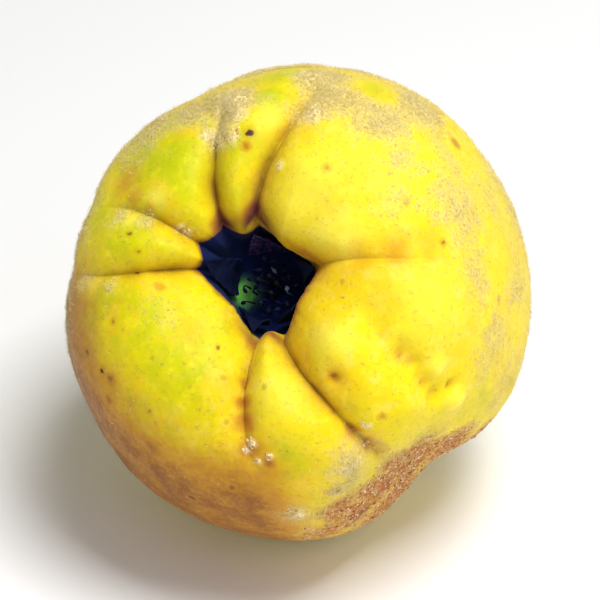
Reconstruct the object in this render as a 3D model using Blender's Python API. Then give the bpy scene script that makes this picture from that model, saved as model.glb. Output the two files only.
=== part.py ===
"""A ripe quince, as picked, lying on its side on the small flat spot that it rests on.

The fruit is one solid: flesh and skin folded into lobes round the open calyx, with the calyx tube at
one end and the stalk's cavity at the other. In the calyx tube stand the dried sepals, stamens and
styles of the flower, each a piece of its own, and a short woody stalk stands in the other cavity.

Lengths below are millimetres in the fruit's own frame: +Z is its axis and points out of the calyx.
Bearings are degrees round that axis, anticlockwise when the calyx is seen face on. "Along" is the
distance along the skin from the middle of the calyx tube's floor.
"""

import math
import random
from collections import namedtuple

import bmesh
import bpy
from mathutils import Euler, Matrix, Vector

MM = 0.001

# How the fruit lies: its axis leans this far from upright, then turns about the vertical.
AXIS_LEAN = 48.5
AXIS_TURN = -18.0
FLAT_DEPTH = 1.4

# Half section of the flesh as radius and height: calyx tube, rim, shoulders, belly, stalk cavity.
HALF_SECTION = (
    (0.0, 17.5), (6.2, 17.9), (9.2, 21.8), (10.0, 26.2), (11.4, 30.2), (15.2, 34.0),
    (22.0, 36.4), (30.5, 33.6), (38.0, 25.6), (42.8, 12.5), (44.2, -2.0), (42.0, -16.5),
    (36.0, -28.5), (27.0, -36.8), (17.0, -40.0), (9.0, -38.0), (5.4, -33.2), (0.0, -32.0),
)
STEPS_PER_SPAN = 40
WIDTH_SCALE = 0.985
HEIGHT_SCALE = 1.018

# Rings of the mesh: from, to (shares of the way along the half section) and number of rings.
RING_STRETCHES = ((0.0, 0.12, 6), (0.12, 0.34, 17), (0.34, 0.78, 13), (0.78, 1.0, 9))

# Creases of the calyx end: bearing at the rim, halfway and at the far end, how far along the skin the
# crease reaches, its depth, and the widths of the rounded shoulder on each side and of its bottom.
# Then, for the lobe that follows it anticlockwise: how far it swells, how far it leans into the calyx,
# and its mesh columns.
Crease = namedtuple("Crease", "rim middle end reach depth shoulder bottom swell lean columns")
CREASES = (
    Crease(26, 17, 17, 54, 1.2, 3.6, 0.7, 0.8, 2.2, 14),
    Crease(110, 92, 86, 54, 4.6, 7.5, 0.5, 1.2, 0.6, 8),
    Crease(139, 124, 112, 46, 3.9, 6.5, 0.5, 0.8, 0.0, 10),
    Crease(161, 161, 167, 46, 2.8, 5.5, 0.7, 1.0, 0.0, 8),
    Crease(178, 188, 187, 50, 3.3, 6.0, 0.5, 1.3, 2.4, 18),
    Crease(276, 277, 281, 46, 3.6, 7.5, 1.0, 1.5, 0.0, 10),
    Crease(302, 313, 316, 60, 4.4, 8.0, 0.6, 0.6, 2.0, 16),
)
RIM_ALONG = 18.0
CREASE_START = 12.0
CREASE_FULL = 30.0
LOBE_START = 8.0
SWELL_END = 66.0
LEAN_END = 30.0

# Shallow ribs at the stalk end.
STALK_RIBS = 5
STALK_RIB_HEIGHT = 1.1
STALK_RIB_BEARING = 40.0
STALK_RIB_ALONG = (96.0, 122.0, 148.0)

# Broad dents and bulges: bearing, along, width and height.
Lump = namedtuple("Lump", "bearing along width height")
LUMPS = (
    Lump(290, 68, 12, 0.9),
    Lump(250, 70, 11, 0.6),
    Lump(176, 62, 12, -1.5),
    Lump(57, 62, 16, 1.4),
    Lump(30, 62, 14, -0.8),
    Lump(124, 62, 16, -1.5),
    Lump(343, 46, 5, -1.3),
    Lump(345, 53, 4, -1.2),
    Lump(335, 31, 5, 2.0),
    Lump(348, 36, 3, -1.7),
    Lump(344, 42, 2.6, -2.0),
    Lump(342.5, 46, 2.3, -1.6),
    Lump(339.4, 50, 2.2, -1.8),
    Lump(338.6, 54, 2.0, -1.6),
    Lump(329, 41, 5, 1.0),
    Lump(345.5, 51, 2, 1.5),
    Lump(340.7, 60, 2.3, 1.4),
    Lump(333, 48, 4, 1.1),
    Lump(134, 17, 6, -1.4),
    Lump(322, 46, 3, 0.7),
    Lump(154, 42, 6, -0.7),
    Lump(36, 27, 4, 0.8),
    Lump(4, 44, 6, 1.0),
    Lump(357, 66, 3, 0.5),
    Lump(28, 20, 3, -0.6),
)

# The sunken, scabbed strip down one side: its bearing, its half width and depth, and where along the
# skin it sets in and runs out.
SCAB_BEARING = 320.0
SCAB_WIDTH = 13.0
SCAB_DEPTH = 5.2
SCAB_ALONG = (48.0, 72.0, 104.0, 132.0)

# Dried sepals: bearing of the foot and of the tip, and how far along the skin the tip reaches. They
# stand off the wall that they lean on.
Sepal = namedtuple("Sepal", "foot tip reach")
SEPALS = (Sepal(34, 26, 18.0), Sepal(106, 116, 15.5), Sepal(178, 172, 21.5),
          Sepal(250, 270, 16.5), Sepal(322, 327, 16.0))
SEPAL_FOOT_ALONG = 9.5
SEPAL_STAND_OFF = (1.5, 0.9)
SEPAL_WIDTH = 6.2
SEPAL_THICKNESS = 0.7
SEPAL_CUPPING = 0.3
SEPAL_STATIONS = 9

# Dried stamens stand in two rings on the floor of the calyx tube: radius of the foot, and shortest and
# longest rise. They bend in and sideways by chance. Outlines are shares of length and of thickness.
STAMENS = 20
STAMEN_RINGS = ((4.7, 6.6, 8.4), (3.5, 4.6, 6.2))
STAMEN_FOOT_HEIGHT = 18.3
STAMEN_FIRST_BEARING = 9.0
STAMEN_LEAN = (-0.9, 0.2)
STAMEN_DRIFT = 7.0
STAMEN_THICKNESS = 0.5
STAMEN_OUTLINE = ((0.0, 0.0), (0.04, 1.1), (0.3, 1.0), (0.55, 0.9), (0.78, 0.8), (0.86, 1.9),
                  (0.95, 1.7), (1.0, 0.0))

# Dried styles spread a little from the middle of the tube.
STYLES = 5
STYLE_FOOT_HEIGHT = 18.0
STYLE_RISE = 7.5
STYLE_FOOT_RADIUS = 1.2
STYLE_SPREAD = 0.7
STYLE_TWIST = 20.0
STYLE_THICKNESS = 0.8
STYLE_OUTLINE = ((0.0, 0.0), (0.04, 1.25), (0.35, 1.0), (0.7, 0.8), (0.9, 1.1), (1.0, 0.0))
THREAD_SIDES = 6

# The woody stalk bends a little and is thickest where it broke from the twig.
STALK_LENGTH = 10.5
STALK_BEND = (1.2, -0.8)
STALK_THICKNESS = 4.6
STALK_OUTLINE = ((0.0, 0.0), (0.07, 0.86), (0.2, 0.8), (0.45, 0.78), (0.7, 0.84), (0.9, 1.0),
                 (0.99, 0.92), (1.0, 0.0))
STALK_SIDES = 14
GAP = 0.35


def smooth(low, high, value):
    """0 below low, 1 above high, with a smooth step between them."""
    share = min(1.0, max(0.0, (value - low) / (high - low)))
    return share * share * (3.0 - 2.0 * share)


def curve_through(points, steps):
    """A smooth curve through 2-D points. Mirrored neighbours make it square to the axis at its ends."""
    before = Vector((-points[1][0], points[1][1]))
    after = Vector((-points[-2][0], points[-2][1]))
    knots = [before, *(Vector(point) for point in points), after]
    line = []
    for a, b, c, d in zip(knots, knots[1:], knots[2:], knots[3:]):
        for step in range(steps):
            t = step / steps
            line.append(0.5 * (2 * b + (c - a) * t + (2 * a - 5 * b + 4 * c - d) * t ** 2
                               + (3 * b - 3 * c + d - a) * t ** 3))
    line.append(knots[-2])
    return line


class HalfSection:
    """The half section as a curve that is read by the distance along it."""

    def __init__(self):
        self.line = curve_through(HALF_SECTION, STEPS_PER_SPAN)
        self.along = [0.0]
        for start, end in zip(self.line, self.line[1:]):
            self.along.append(self.along[-1] + (end - start).length)
        self.length = self.along[-1]

    def at(self, along):
        """Radius and height at a distance along the curve, and its outward normal."""
        along = min(max(along, 0.0), self.length)
        index = 1
        while index < len(self.line) - 1 and self.along[index] < along:
            index += 1
        start, end = self.line[index - 1], self.line[index]
        share = (along - self.along[index - 1]) / (self.along[index] - self.along[index - 1])
        run = (end - start).normalized()
        return start.lerp(end, share), Vector((-run.y, run.x))


def crease_bearing(crease, along):
    """Where a crease runs at a distance along the skin."""
    s = min(1.0, max(0.0, (along - RIM_ALONG) / (crease.reach - RIM_ALONG)))
    return (crease.rim * (1 - s) * (1 - 2 * s) + crease.middle * 4 * s * (1 - s)
            + crease.end * s * (2 * s - 1))


def crease_depth(along, bearing, radius):
    """How far the skin dips into the creases. Each has two round shoulders, as wide as the lobe beside
    it allows, that meet in a narrow rounded bottom."""
    depth = 0.0
    radius = max(radius, 1.0)
    for before, crease, after in zip(CREASES[-1:] + CREASES, CREASES, CREASES[1:] + CREASES[:1]):
        here = crease_bearing(crease, along)
        off = (bearing - here + 180.0) % 360.0 - 180.0
        if off > 0.0:
            room = (crease_bearing(after, along) - here) % 360.0
        else:
            room = (here - crease_bearing(before, along)) % 360.0
        width = min(crease.shoulder, math.radians(room) * radius / 2.0)
        sideways = math.hypot(math.radians(off) * radius, crease.bottom) - crease.bottom
        if sideways >= width:
            continue
        spent = max(0.0, (along - RIM_ALONG) / (crease.reach - RIM_ALONG))
        strength = smooth(CREASE_START, CREASE_FULL, along) * max(0.0, 1.0 - spent ** 2.2)
        near = 1.0 - sideways / width
        depth += crease.depth * strength * (1.0 - math.sqrt(1.0 - near ** 2))
    return depth


def lobe_swell(along, bearing):
    """How far the lobe between two creases stands proud."""
    rise = smooth(LOBE_START, RIM_ALONG, along)
    swelling = 1.0 - smooth(RIM_ALONG, SWELL_END, along) ** 2
    leaning = 1.0 - smooth(RIM_ALONG, LEAN_END, along)
    for crease, following in zip(CREASES, CREASES[1:] + CREASES[:1]):
        start, end = crease_bearing(crease, along), crease_bearing(following, along)
        width = (end - start) % 360.0
        share = ((bearing - start) % 360.0) / width
        if share < 1.0:
            proud = crease.swell * swelling + crease.lean * leaning
            return rise * proud * math.sin(math.pi * share)
    return 0.0


def stalk_ribs(along, bearing):
    """Shallow ribs round the stalk's cavity."""
    low, middle, high = STALK_RIB_ALONG
    strength = smooth(low, middle, along) * (1.0 - smooth(middle, high, along))
    return STALK_RIB_HEIGHT * strength * math.cos(math.radians(STALK_RIBS * (bearing - STALK_RIB_BEARING)))


def scab_depth(along, bearing, radius):
    """How far the scabbed strip is sunk."""
    off = (bearing - SCAB_BEARING + 180.0) % 360.0 - 180.0
    sideways = math.radians(off) * radius / SCAB_WIDTH
    start, full, fading, end = SCAB_ALONG
    strength = smooth(start, full, along) * (1.0 - smooth(fading, end, along))
    return SCAB_DEPTH * strength * math.exp(-sideways * sideways)


def round_axis(radius, height, bearing):
    """A point at a bearing round the fruit's axis."""
    turn = math.radians(bearing)
    return Vector((radius * math.cos(turn), radius * math.sin(turn), height))


def skin_point(section, along, bearing):
    """A point of the fruit's surface."""
    (radius, height), (out, up) = section.at(along)
    base = round_axis(radius, height, bearing)
    proud = lobe_swell(along, bearing) + stalk_ribs(along, bearing)
    proud -= crease_depth(along, bearing, radius) + scab_depth(along, bearing, radius)
    for lump in LUMPS:
        (lump_radius, lump_height), _ = section.at(lump.along)
        apart = (base - round_axis(lump_radius, lump_height, lump.bearing)).length / lump.width
        proud += lump.height * math.exp(-apart * apart)
    point = round_axis(radius + out * proud, height + up * proud, bearing)
    return Vector((point.x * WIDTH_SCALE, point.y * HEIGHT_SCALE, point.z))


def loft(name, rings):
    """A closed mesh through rings of points, with a single point at each end."""
    shape = bmesh.new()
    rows = [[shape.verts.new(point * MM) for point in ring] for ring in rings]
    for lower, upper in zip(rows, rows[1:]):
        for k in range(max(len(lower), len(upper))):
            corners = [lower[k % len(lower)], lower[(k + 1) % len(lower)],
                       upper[(k + 1) % len(upper)], upper[k % len(upper)]]
            shape.faces.new(list(dict.fromkeys(corners)))
    bmesh.ops.recalc_face_normals(shape, faces=shape.faces)
    mesh = bpy.data.meshes.new(name)
    shape.to_mesh(mesh)
    shape.free()
    return mesh


def add_piece(name, mesh, material, pose):
    """One named piece in the fruit's frame, shaded smooth."""
    piece = bpy.data.objects.new(name, mesh)
    bpy.context.scene.collection.objects.link(piece)
    mesh.materials.append(material)
    mesh.shade_smooth()
    piece.parent = pose
    return piece


def finish(name, colour, roughness):
    """A Principled material."""
    material = bpy.data.materials.new(name)
    material.use_nodes = True
    shader = material.node_tree.nodes["Principled BSDF"]
    shader.inputs["Base Color"].default_value = (*colour, 1.0)
    shader.inputs["Roughness"].default_value = roughness
    shader.inputs["Metallic"].default_value = 0.0
    return material


def column_bearings(along):
    """Bearings of the mesh columns: they follow the creases, and crowd towards them."""
    bearings = []
    for crease, following in zip(CREASES, CREASES[1:] + CREASES[:1]):
        start = crease_bearing(crease, along)
        width = (crease_bearing(following, along) - start) % 360.0
        for k in range(crease.columns):
            even = k / crease.columns
            crowded = (1.0 - math.cos(math.pi * even)) / 2.0
            bearings.append(start + width * (even + crowded) / 2.0)
    return bearings


def fruit_mesh(section):
    """The flesh, before its resting spot is cut."""
    shares = [0.0]
    for low, high, count in RING_STRETCHES:
        shares += [low + (high - low) * (k + 1) / count for k in range(count)]
    rings = [[skin_point(section, 0.0, 0.0)]]
    for share in shares[1:-1]:
        along = share * section.length
        rings.append([skin_point(section, along, bearing) for bearing in column_bearings(along)])
    rings.append([skin_point(section, section.length, 0.0)])
    return loft("fruit", rings)


def cut_resting_spot(mesh, lie):
    """Cuts the flat spot square to the vertical of the lying fruit, and returns its height."""
    lowest = min((lie @ vertex.co).z for vertex in mesh.vertices)
    floor = lowest + FLAT_DEPTH * MM
    up = lie.transposed() @ Vector((0.0, 0.0, 1.0))
    shape = bmesh.new()
    shape.from_mesh(mesh)
    cut = bmesh.ops.bisect_plane(
        shape, geom=shape.verts[:] + shape.edges[:] + shape.faces[:], dist=1e-7,
        plane_co=up * floor, plane_no=up, clear_inner=True)
    rim = [edge for edge in cut["geom_cut"] if isinstance(edge, bmesh.types.BMEdge)]
    bmesh.ops.holes_fill(shape, edges=rim, sides=0)
    bmesh.ops.recalc_face_normals(shape, faces=shape.faces)
    shape.to_mesh(mesh)
    shape.free()
    return floor


def thread(route, outline, thickness, sides):
    """Rings of a thin round piece. The route gives its middle at a share of its length, and the
    outline its thickness there."""
    path = [route(share) for share, _ in outline]
    rings = [[path[0]]]
    side = Vector((1.0, 0.0, 0.0))
    for index in range(1, len(path) - 1):
        run = (path[index + 1] - path[index - 1]).normalized()
        side = (side - run * side.dot(run)).normalized()
        other = run.cross(side)
        radius = thickness * outline[index][1] / 2.0
        turns = [math.tau * k / sides for k in range(sides)]
        rings.append([path[index] + (side * math.cos(turn) + other * math.sin(turn)) * radius
                      for turn in turns])
    rings.append([path[-1]])
    return rings


def sepal_rings(section, sepal):
    """A dried sepal: a lance-shaped blade, hollow on its inner side, that leans out over the wall."""
    outline = ((-1, 0), (-0.5, 1), (0, 1), (0.5, 1), (1, 0), (0.5, -1), (0, -1), (-0.5, -1))
    rings = []
    for station in range(SEPAL_STATIONS + 1):
        share = station / SEPAL_STATIONS
        bearing = sepal.foot + (sepal.tip - sepal.foot) * share ** 1.5
        along = SEPAL_FOOT_ALONG + (sepal.reach - SEPAL_FOOT_ALONG) * share
        half = SEPAL_WIDTH / 2.0 * math.sin(math.pi * (0.25 + 0.75 * share)) ** 0.8
        spread = math.degrees(half / section.at(along)[0].x)
        wall = [skin_point(section, along, bearing + side * spread) for side in (-1, -0.5, 0, 0.5, 1)]
        stand_off = SEPAL_STAND_OFF[0] + (SEPAL_STAND_OFF[1] - SEPAL_STAND_OFF[0]) * share
        radius = min(point.xy.length for point in wall) - stand_off
        middle = round_axis(radius, wall[2].z, bearing)
        if station in (0, SEPAL_STATIONS):
            rings.append([middle])
            continue
        across = round_axis(1.0, 0.0, bearing + 90.0)
        inward = round_axis(-1.0, 0.0, bearing)
        rings.append([middle + across * (place * half)
                      + inward * (place * place * half * SEPAL_CUPPING + side * SEPAL_THICKNESS / 2.0)
                      for place, side in outline])
    return rings


def stamen_rings(index, chance):
    """A dried stamen: a thread that bends in over the tube and ends in a shrunken anther."""
    first_bearing = STAMEN_FIRST_BEARING + 360.0 * index / STAMENS
    foot, shortest, longest = STAMEN_RINGS[index % 2]
    rise = chance.uniform(shortest, longest)
    lean = chance.uniform(*STAMEN_LEAN)
    drift = chance.uniform(-STAMEN_DRIFT, STAMEN_DRIFT)

    def route(share):
        bearing = first_bearing + drift * share ** 2
        return round_axis(foot + lean * share ** 2, STAMEN_FOOT_HEIGHT + rise * share, bearing)

    return thread(route, STAMEN_OUTLINE, STAMEN_THICKNESS, THREAD_SIDES)


def style_rings(index):
    """A dried style: a thread in the middle of the tube with a blunt tip."""
    first_bearing = 360.0 * index / STYLES

    def route(share):
        radius = STYLE_FOOT_RADIUS + STYLE_SPREAD * share ** 1.5
        return round_axis(radius, STYLE_FOOT_HEIGHT + STYLE_RISE * share, first_bearing + STYLE_TWIST * share)

    return thread(route, STYLE_OUTLINE, STYLE_THICKNESS, THREAD_SIDES)


def stalk_rings(section):
    """The woody stalk: a short stub on the floor of its cavity."""
    top = section.at(section.length)[0].y - GAP

    def route(share):
        return Vector((STALK_BEND[0] * share ** 2, STALK_BEND[1] * share ** 2, top - STALK_LENGTH * share))

    return thread(route, STALK_OUTLINE, STALK_THICKNESS, STALK_SIDES)


for old in list(bpy.data.objects):
    bpy.data.objects.remove(old, do_unlink=True)

skin = finish("skin", (0.72, 0.60, 0.03), 0.55)
dried_sepal = finish("dried_sepal", (0.020, 0.022, 0.030), 0.8)
dried_thread = finish("dried_thread", (0.045, 0.030, 0.022), 0.8)
bark = finish("bark", (0.10, 0.065, 0.035), 0.85)

half_section = HalfSection()
lie = Euler((math.radians(AXIS_LEAN), 0.0, math.radians(AXIS_TURN))).to_matrix()
flesh = fruit_mesh(half_section)
floor_height = cut_resting_spot(flesh, lie)

# The lying fruit stands on the ground plane with the middle of its box over the origin.
lying = [lie @ vertex.co for vertex in flesh.vertices]
middle_x = (min(point.x for point in lying) + max(point.x for point in lying)) / 2.0
middle_y = (min(point.y for point in lying) + max(point.y for point in lying)) / 2.0
pose = bpy.data.objects.new("quince_pose", None)
bpy.context.scene.collection.objects.link(pose)
pose.matrix_world = Matrix.Translation((-middle_x, -middle_y, -floor_height)) @ lie.to_4x4()

add_piece("fruit", flesh, skin, pose)
for number, sepal in enumerate(SEPALS, 1):
    name = f"sepal_{number}"
    add_piece(name, loft(name, sepal_rings(half_section, sepal)), dried_sepal, pose)
chance = random.Random(11)
for number in range(STAMENS):
    name = f"stamen_{number + 1:02d}"
    add_piece(name, loft(name, stamen_rings(number, chance)), dried_thread, pose)
for number in range(STYLES):
    name = f"style_{number + 1}"
    add_piece(name, loft(name, style_rings(number)), dried_thread, pose)
add_piece("stalk", loft("stalk", stalk_rings(half_section)), bark, pose)
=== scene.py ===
"""The finish of a ripe quince lying on its side: its skin with the folded lobes round the open calyx,
the down that is left on it, the scab, and the dried sepals, stamens, styles and stalk.

Lengths in the sections are millimetres in the fruit's own frame: +Z is its axis and points out of the
calyx. Bearings are degrees round that axis, anticlockwise when the calyx is seen face on. "Along" is
the distance along the skin from the middle of the calyx tube's floor.
"""

import math
import random
from collections import namedtuple

import bpy
import numpy as np
from mathutils import Euler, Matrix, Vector, noise


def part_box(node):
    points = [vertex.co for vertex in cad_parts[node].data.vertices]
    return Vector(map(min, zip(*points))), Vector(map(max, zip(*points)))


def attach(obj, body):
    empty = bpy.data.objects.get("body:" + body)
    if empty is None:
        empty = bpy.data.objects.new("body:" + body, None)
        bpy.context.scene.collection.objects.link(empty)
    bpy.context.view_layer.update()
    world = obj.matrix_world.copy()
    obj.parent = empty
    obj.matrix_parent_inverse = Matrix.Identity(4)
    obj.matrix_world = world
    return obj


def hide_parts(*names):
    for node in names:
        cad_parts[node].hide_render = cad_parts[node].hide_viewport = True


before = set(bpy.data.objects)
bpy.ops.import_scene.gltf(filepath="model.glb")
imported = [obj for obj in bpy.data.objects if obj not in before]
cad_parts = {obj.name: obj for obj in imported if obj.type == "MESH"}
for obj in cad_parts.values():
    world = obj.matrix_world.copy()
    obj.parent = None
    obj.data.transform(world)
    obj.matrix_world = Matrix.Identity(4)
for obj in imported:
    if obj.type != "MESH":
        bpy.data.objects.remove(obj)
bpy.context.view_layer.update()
bpy.ops.object.select_all(action="DESELECT")


# ---- The fruit ----
# One body of firm yellow flesh under a thin waxy skin. It grew as folded lobes round the open calyx,
# with a stalk cavity at the other end, and a little flesh is pressed flat where it lies.

MM = 0.001
FRUIT_LOW, FRUIT_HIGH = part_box("fruit")
AXIS_LEAN = 48.5
AXIS_TURN = -18.0
HALF_SECTION = (
    (0.0, 17.5), (6.2, 17.9), (9.2, 21.8), (10.0, 26.2), (11.4, 30.2), (15.2, 34.0),
    (22.0, 36.4), (30.5, 33.6), (38.0, 25.6), (42.8, 12.5), (44.2, -2.0), (42.0, -16.5),
    (36.0, -28.5), (27.0, -36.8), (17.0, -40.0), (9.0, -38.0), (5.4, -33.2), (0.0, -32.0),
)
STEPS_PER_SPAN = 40
WIDTH_SCALE = 0.985
HEIGHT_SCALE = 1.018

# Creases of the calyx end: bearing at the rim, halfway and at the far end, reach, depth, width of the
# shoulder on each side, width of the bottom, and how dark its line is. Then the lobe that follows: its
# swell, its lean into the calyx, and its columns of the mesh.
Crease = namedtuple("Crease", "rim middle end reach depth shoulder bottom dark swell lean columns")
CREASES = (
    Crease(26, 17, 17, 54, 1.2, 3.6, 0.7, 0.16, 0.8, 2.2, 70),
    Crease(110, 92, 86, 54, 4.6, 7.5, 0.5, 0.8, 1.2, 0.6, 42),
    Crease(139, 124, 112, 46, 3.9, 6.5, 0.5, 0.8, 0.8, 0.0, 48),
    Crease(161, 161, 167, 46, 2.8, 5.5, 0.7, 0.45, 1.0, 0.0, 40),
    Crease(178, 188, 187, 50, 3.3, 6.0, 0.5, 0.6, 1.3, 2.4, 84),
    Crease(276, 277, 281, 46, 3.6, 7.5, 1.0, 0.5, 1.5, 0.0, 48),
    Crease(302, 313, 316, 60, 4.4, 8.0, 0.6, 0.7, 0.6, 2.0, 80),
)
COLUMNS = sum(crease.columns for crease in CREASES)
RIM_ALONG = 18.0
CREASE_START = 12.0
CREASE_FULL = 30.0
LOBE_START = 8.0
SWELL_END = 66.0
LEAN_END = 30.0
# Rings of the mesh: to which share of the way along the half section, and how many.
RING_STRETCHES = ((0.09, 14), (0.34, 96), (0.78, 84), (1.0, 44))
RINGS = sum(count for _, count in RING_STRETCHES)

STALK_RIBS = 5
STALK_RIB_HEIGHT = 1.1
STALK_RIB_BEARING = 40.0
STALK_RIB_ALONG = (96.0, 122.0, 122.0, 148.0)
SCAB_BEARING = 320.0
SCAB_WIDTH = 13.0
SCAB_DEPTH = 5.2
SCAB_ALONG = (48.0, 72.0, 104.0, 132.0)

# Broad dents and bulges: bearing, along, width and height.
Lump = namedtuple("Lump", "bearing along width height")
LUMPS = (
    Lump(290, 68, 12, 0.9), Lump(250, 70, 11, 0.6), Lump(176, 62, 12, -1.5), Lump(57, 62, 16, 1.4),
    Lump(30, 62, 14, -0.8), Lump(124, 62, 16, -1.5), Lump(343, 46, 5, -1.3), Lump(345, 53, 4, -1.2),
    Lump(335, 31, 5, 2.0), Lump(348, 36, 3, -1.7), Lump(344, 42, 2.6, -2.0), Lump(342.5, 46, 2.3, -1.6),
    Lump(339.4, 50, 2.2, -1.8), Lump(338.6, 54, 2.0, -1.6), Lump(329, 41, 5, 1.0),
    Lump(345.5, 51, 2, 1.5), Lump(340.7, 60, 2.3, 1.4), Lump(333, 48, 4, 1.1), Lump(343, 57.2, 1.4, -1.4),
    Lump(134, 17, 6, -1.4), Lump(111.5, 44, 3, 1.0), Lump(314.5, 45, 1.8, -0.5),
    Lump(316.2, 49, 1.8, -0.7), Lump(315.8, 53, 1.8, -0.6), Lump(322, 35, 1.3, -0.9),
    Lump(154, 42, 6, -0.7), Lump(36, 27, 4, 0.8), Lump(4, 44, 6, 1.0), Lump(322, 46, 3, 0.7),
    Lump(357, 66, 3, 0.5), Lump(28, 20, 3, -0.6),
)


def smooth(low, high, value):
    """0 below low, 1 above high, with a smooth step between them."""
    share = np.clip((value - low) / (high - low), 0.0, 1.0)
    return share * share * (3.0 - 2.0 * share)


def between(marks, value):
    """1 between the two middle marks, with smooth steps down to 0 at the outer two."""
    start, full, fading, end = marks
    return smooth(start, full, value) * (1.0 - smooth(fading, end, value))


def section_line():
    """The half section as a smooth curve, with the distance along it."""
    before = (-HALF_SECTION[1][0], HALF_SECTION[1][1])
    after = (-HALF_SECTION[-2][0], HALF_SECTION[-2][1])
    knots = np.array([before, *HALF_SECTION, after])
    t = (np.arange(STEPS_PER_SPAN) / STEPS_PER_SPAN)[:, None]
    line = [0.5 * (2 * b + (c - a) * t + (2 * a - 5 * b + 4 * c - d) * t ** 2
                   + (3 * b - 3 * c + d - a) * t ** 3)
            for a, b, c, d in zip(knots, knots[1:], knots[2:], knots[3:])]
    line = np.vstack([*line, knots[-2:-1]])
    steps = np.linalg.norm(np.diff(line, axis=0), axis=1)
    return line, np.concatenate([[0.0], np.cumsum(steps)])


SECTION, SECTION_ALONG = section_line()
LENGTH = SECTION_ALONG[-1]
RUN = np.gradient(SECTION, SECTION_ALONG, axis=0)
RUN /= np.linalg.norm(RUN, axis=1)[:, None]


def section_at(along):
    """Radius, height and outward normal of the half section."""
    def read(values):
        return np.interp(along, SECTION_ALONG, values)
    return read(SECTION[:, 0]), read(SECTION[:, 1]), -read(RUN[:, 1]), read(RUN[:, 0])


def crease_bearing(crease, along):
    """Where a crease runs at a distance along the skin."""
    s = np.clip((along - RIM_ALONG) / (crease.reach - RIM_ALONG), 0.0, 1.0)
    return (crease.rim * (1 - s) * (1 - 2 * s) + crease.middle * 4 * s * (1 - s)
            + crease.end * s * (2 * s - 1))


def beside_crease(crease, along, bearing, radius):
    """How far to the side of a crease a place is, and how strong the crease is there."""
    off = (bearing - crease_bearing(crease, along) + 180.0) % 360.0 - 180.0
    spent = np.maximum(0.0, (along - RIM_ALONG) / (crease.reach - RIM_ALONG))
    strength = smooth(CREASE_START, CREASE_FULL, along) * np.maximum(0.0, 1.0 - spent ** 2.2)
    return np.radians(off) * np.maximum(radius, 1.0), strength


def crease_depth(along, bearing, radius):
    """How far the skin dips into the creases. Each has two round shoulders, as wide as the lobe beside
    it allows, that meet in a narrow rounded bottom."""
    depth = np.zeros_like(along)
    count = len(CREASES)
    for index, crease in enumerate(CREASES):
        sideways, strength = beside_crease(crease, along, bearing, radius)
        here = crease_bearing(crease, along)
        after = (crease_bearing(CREASES[(index + 1) % count], along) - here) % 360.0
        before = (here - crease_bearing(CREASES[index - 1], along)) % 360.0
        room = np.radians(np.where(sideways > 0.0, after, before)) * np.maximum(radius, 1.0) / 2.0
        apart = np.sqrt(sideways ** 2 + crease.bottom ** 2) - crease.bottom
        near = np.clip(1.0 - apart / np.minimum(crease.shoulder, room), 0.0, 1.0)
        depth = depth + crease.depth * strength * (1.0 - np.sqrt(1.0 - near ** 2))
    return depth


def lobe_swell(along, bearing):
    """How far the lobe between two creases stands proud."""
    rise = smooth(LOBE_START, RIM_ALONG, along)
    swelling = 1.0 - smooth(RIM_ALONG, SWELL_END, along) ** 2
    leaning = 1.0 - smooth(RIM_ALONG, LEAN_END, along)
    proud = np.zeros_like(along)
    for crease, following in zip(CREASES, CREASES[1:] + CREASES[:1]):
        start, end = crease_bearing(crease, along), crease_bearing(following, along)
        share = ((bearing - start) % 360.0) / ((end - start) % 360.0)
        height = crease.swell * swelling + crease.lean * leaning
        proud = np.where(share < 1.0, rise * height * np.sin(np.pi * np.minimum(share, 1.0)), proud)
    return proud


def stalk_ribs(along, bearing):
    """Shallow ribs round the stalk's cavity."""
    wave = np.cos(np.radians(STALK_RIBS * (bearing - STALK_RIB_BEARING)))
    return STALK_RIB_HEIGHT * between(STALK_RIB_ALONG, along) * wave


def scab_share(along, bearing, radius):
    """1 in the middle of the scabbed strip, and 0 outside it."""
    off = (bearing - SCAB_BEARING + 180.0) % 360.0 - 180.0
    return between(SCAB_ALONG, along) * np.exp(-(np.radians(off) * radius / SCAB_WIDTH) ** 2)


def round_axis(radius, height, bearing):
    """Points at a bearing round the fruit's axis."""
    turn = np.radians(bearing)
    return np.stack([radius * np.cos(turn), radius * np.sin(turn), height + 0.0 * turn], axis=-1)


def near_place(base, bearing, along, width):
    """1 at a place of the skin, falling off round it."""
    radius, height, _, _ = section_at(along)
    apart = np.linalg.norm(base - round_axis(radius, height, bearing), axis=-1) / width
    return np.exp(-apart ** 2)


def skin_points(along, bearing, relief=0.0):
    """Points of the fruit's surface, raised by relief."""
    along, bearing = np.broadcast_arrays(np.float64(along), np.float64(bearing))
    radius, height, out, up = section_at(along)
    base = round_axis(radius, height, bearing)
    proud = lobe_swell(along, bearing) + stalk_ribs(along, bearing) + relief
    proud = proud - crease_depth(along, bearing, radius) - SCAB_DEPTH * scab_share(along, bearing, radius)
    for lump in LUMPS:
        proud = proud + lump.height * near_place(base, lump.bearing, lump.along, lump.width)
    points = round_axis(radius + out * proud, height + up * proud, bearing)
    return points * (WIDTH_SCALE, HEIGHT_SCALE, 1.0)


def read_ball(ball, rings, columns):
    """The ring and the column of each point of a UV sphere, counted from its top pole."""
    points = np.empty(len(ball.data.vertices) * 3)
    ball.data.vertices.foreach_get("co", points)
    points = points.reshape(-1, 3)
    height = np.clip(points[:, 2] / np.linalg.norm(points, axis=1), -1.0, 1.0)
    ring = np.rint(np.arccos(height) / np.pi * rings)
    turn = np.arctan2(points[:, 1], points[:, 0]) / math.tau
    return ring, np.rint(turn * columns) % columns


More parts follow.
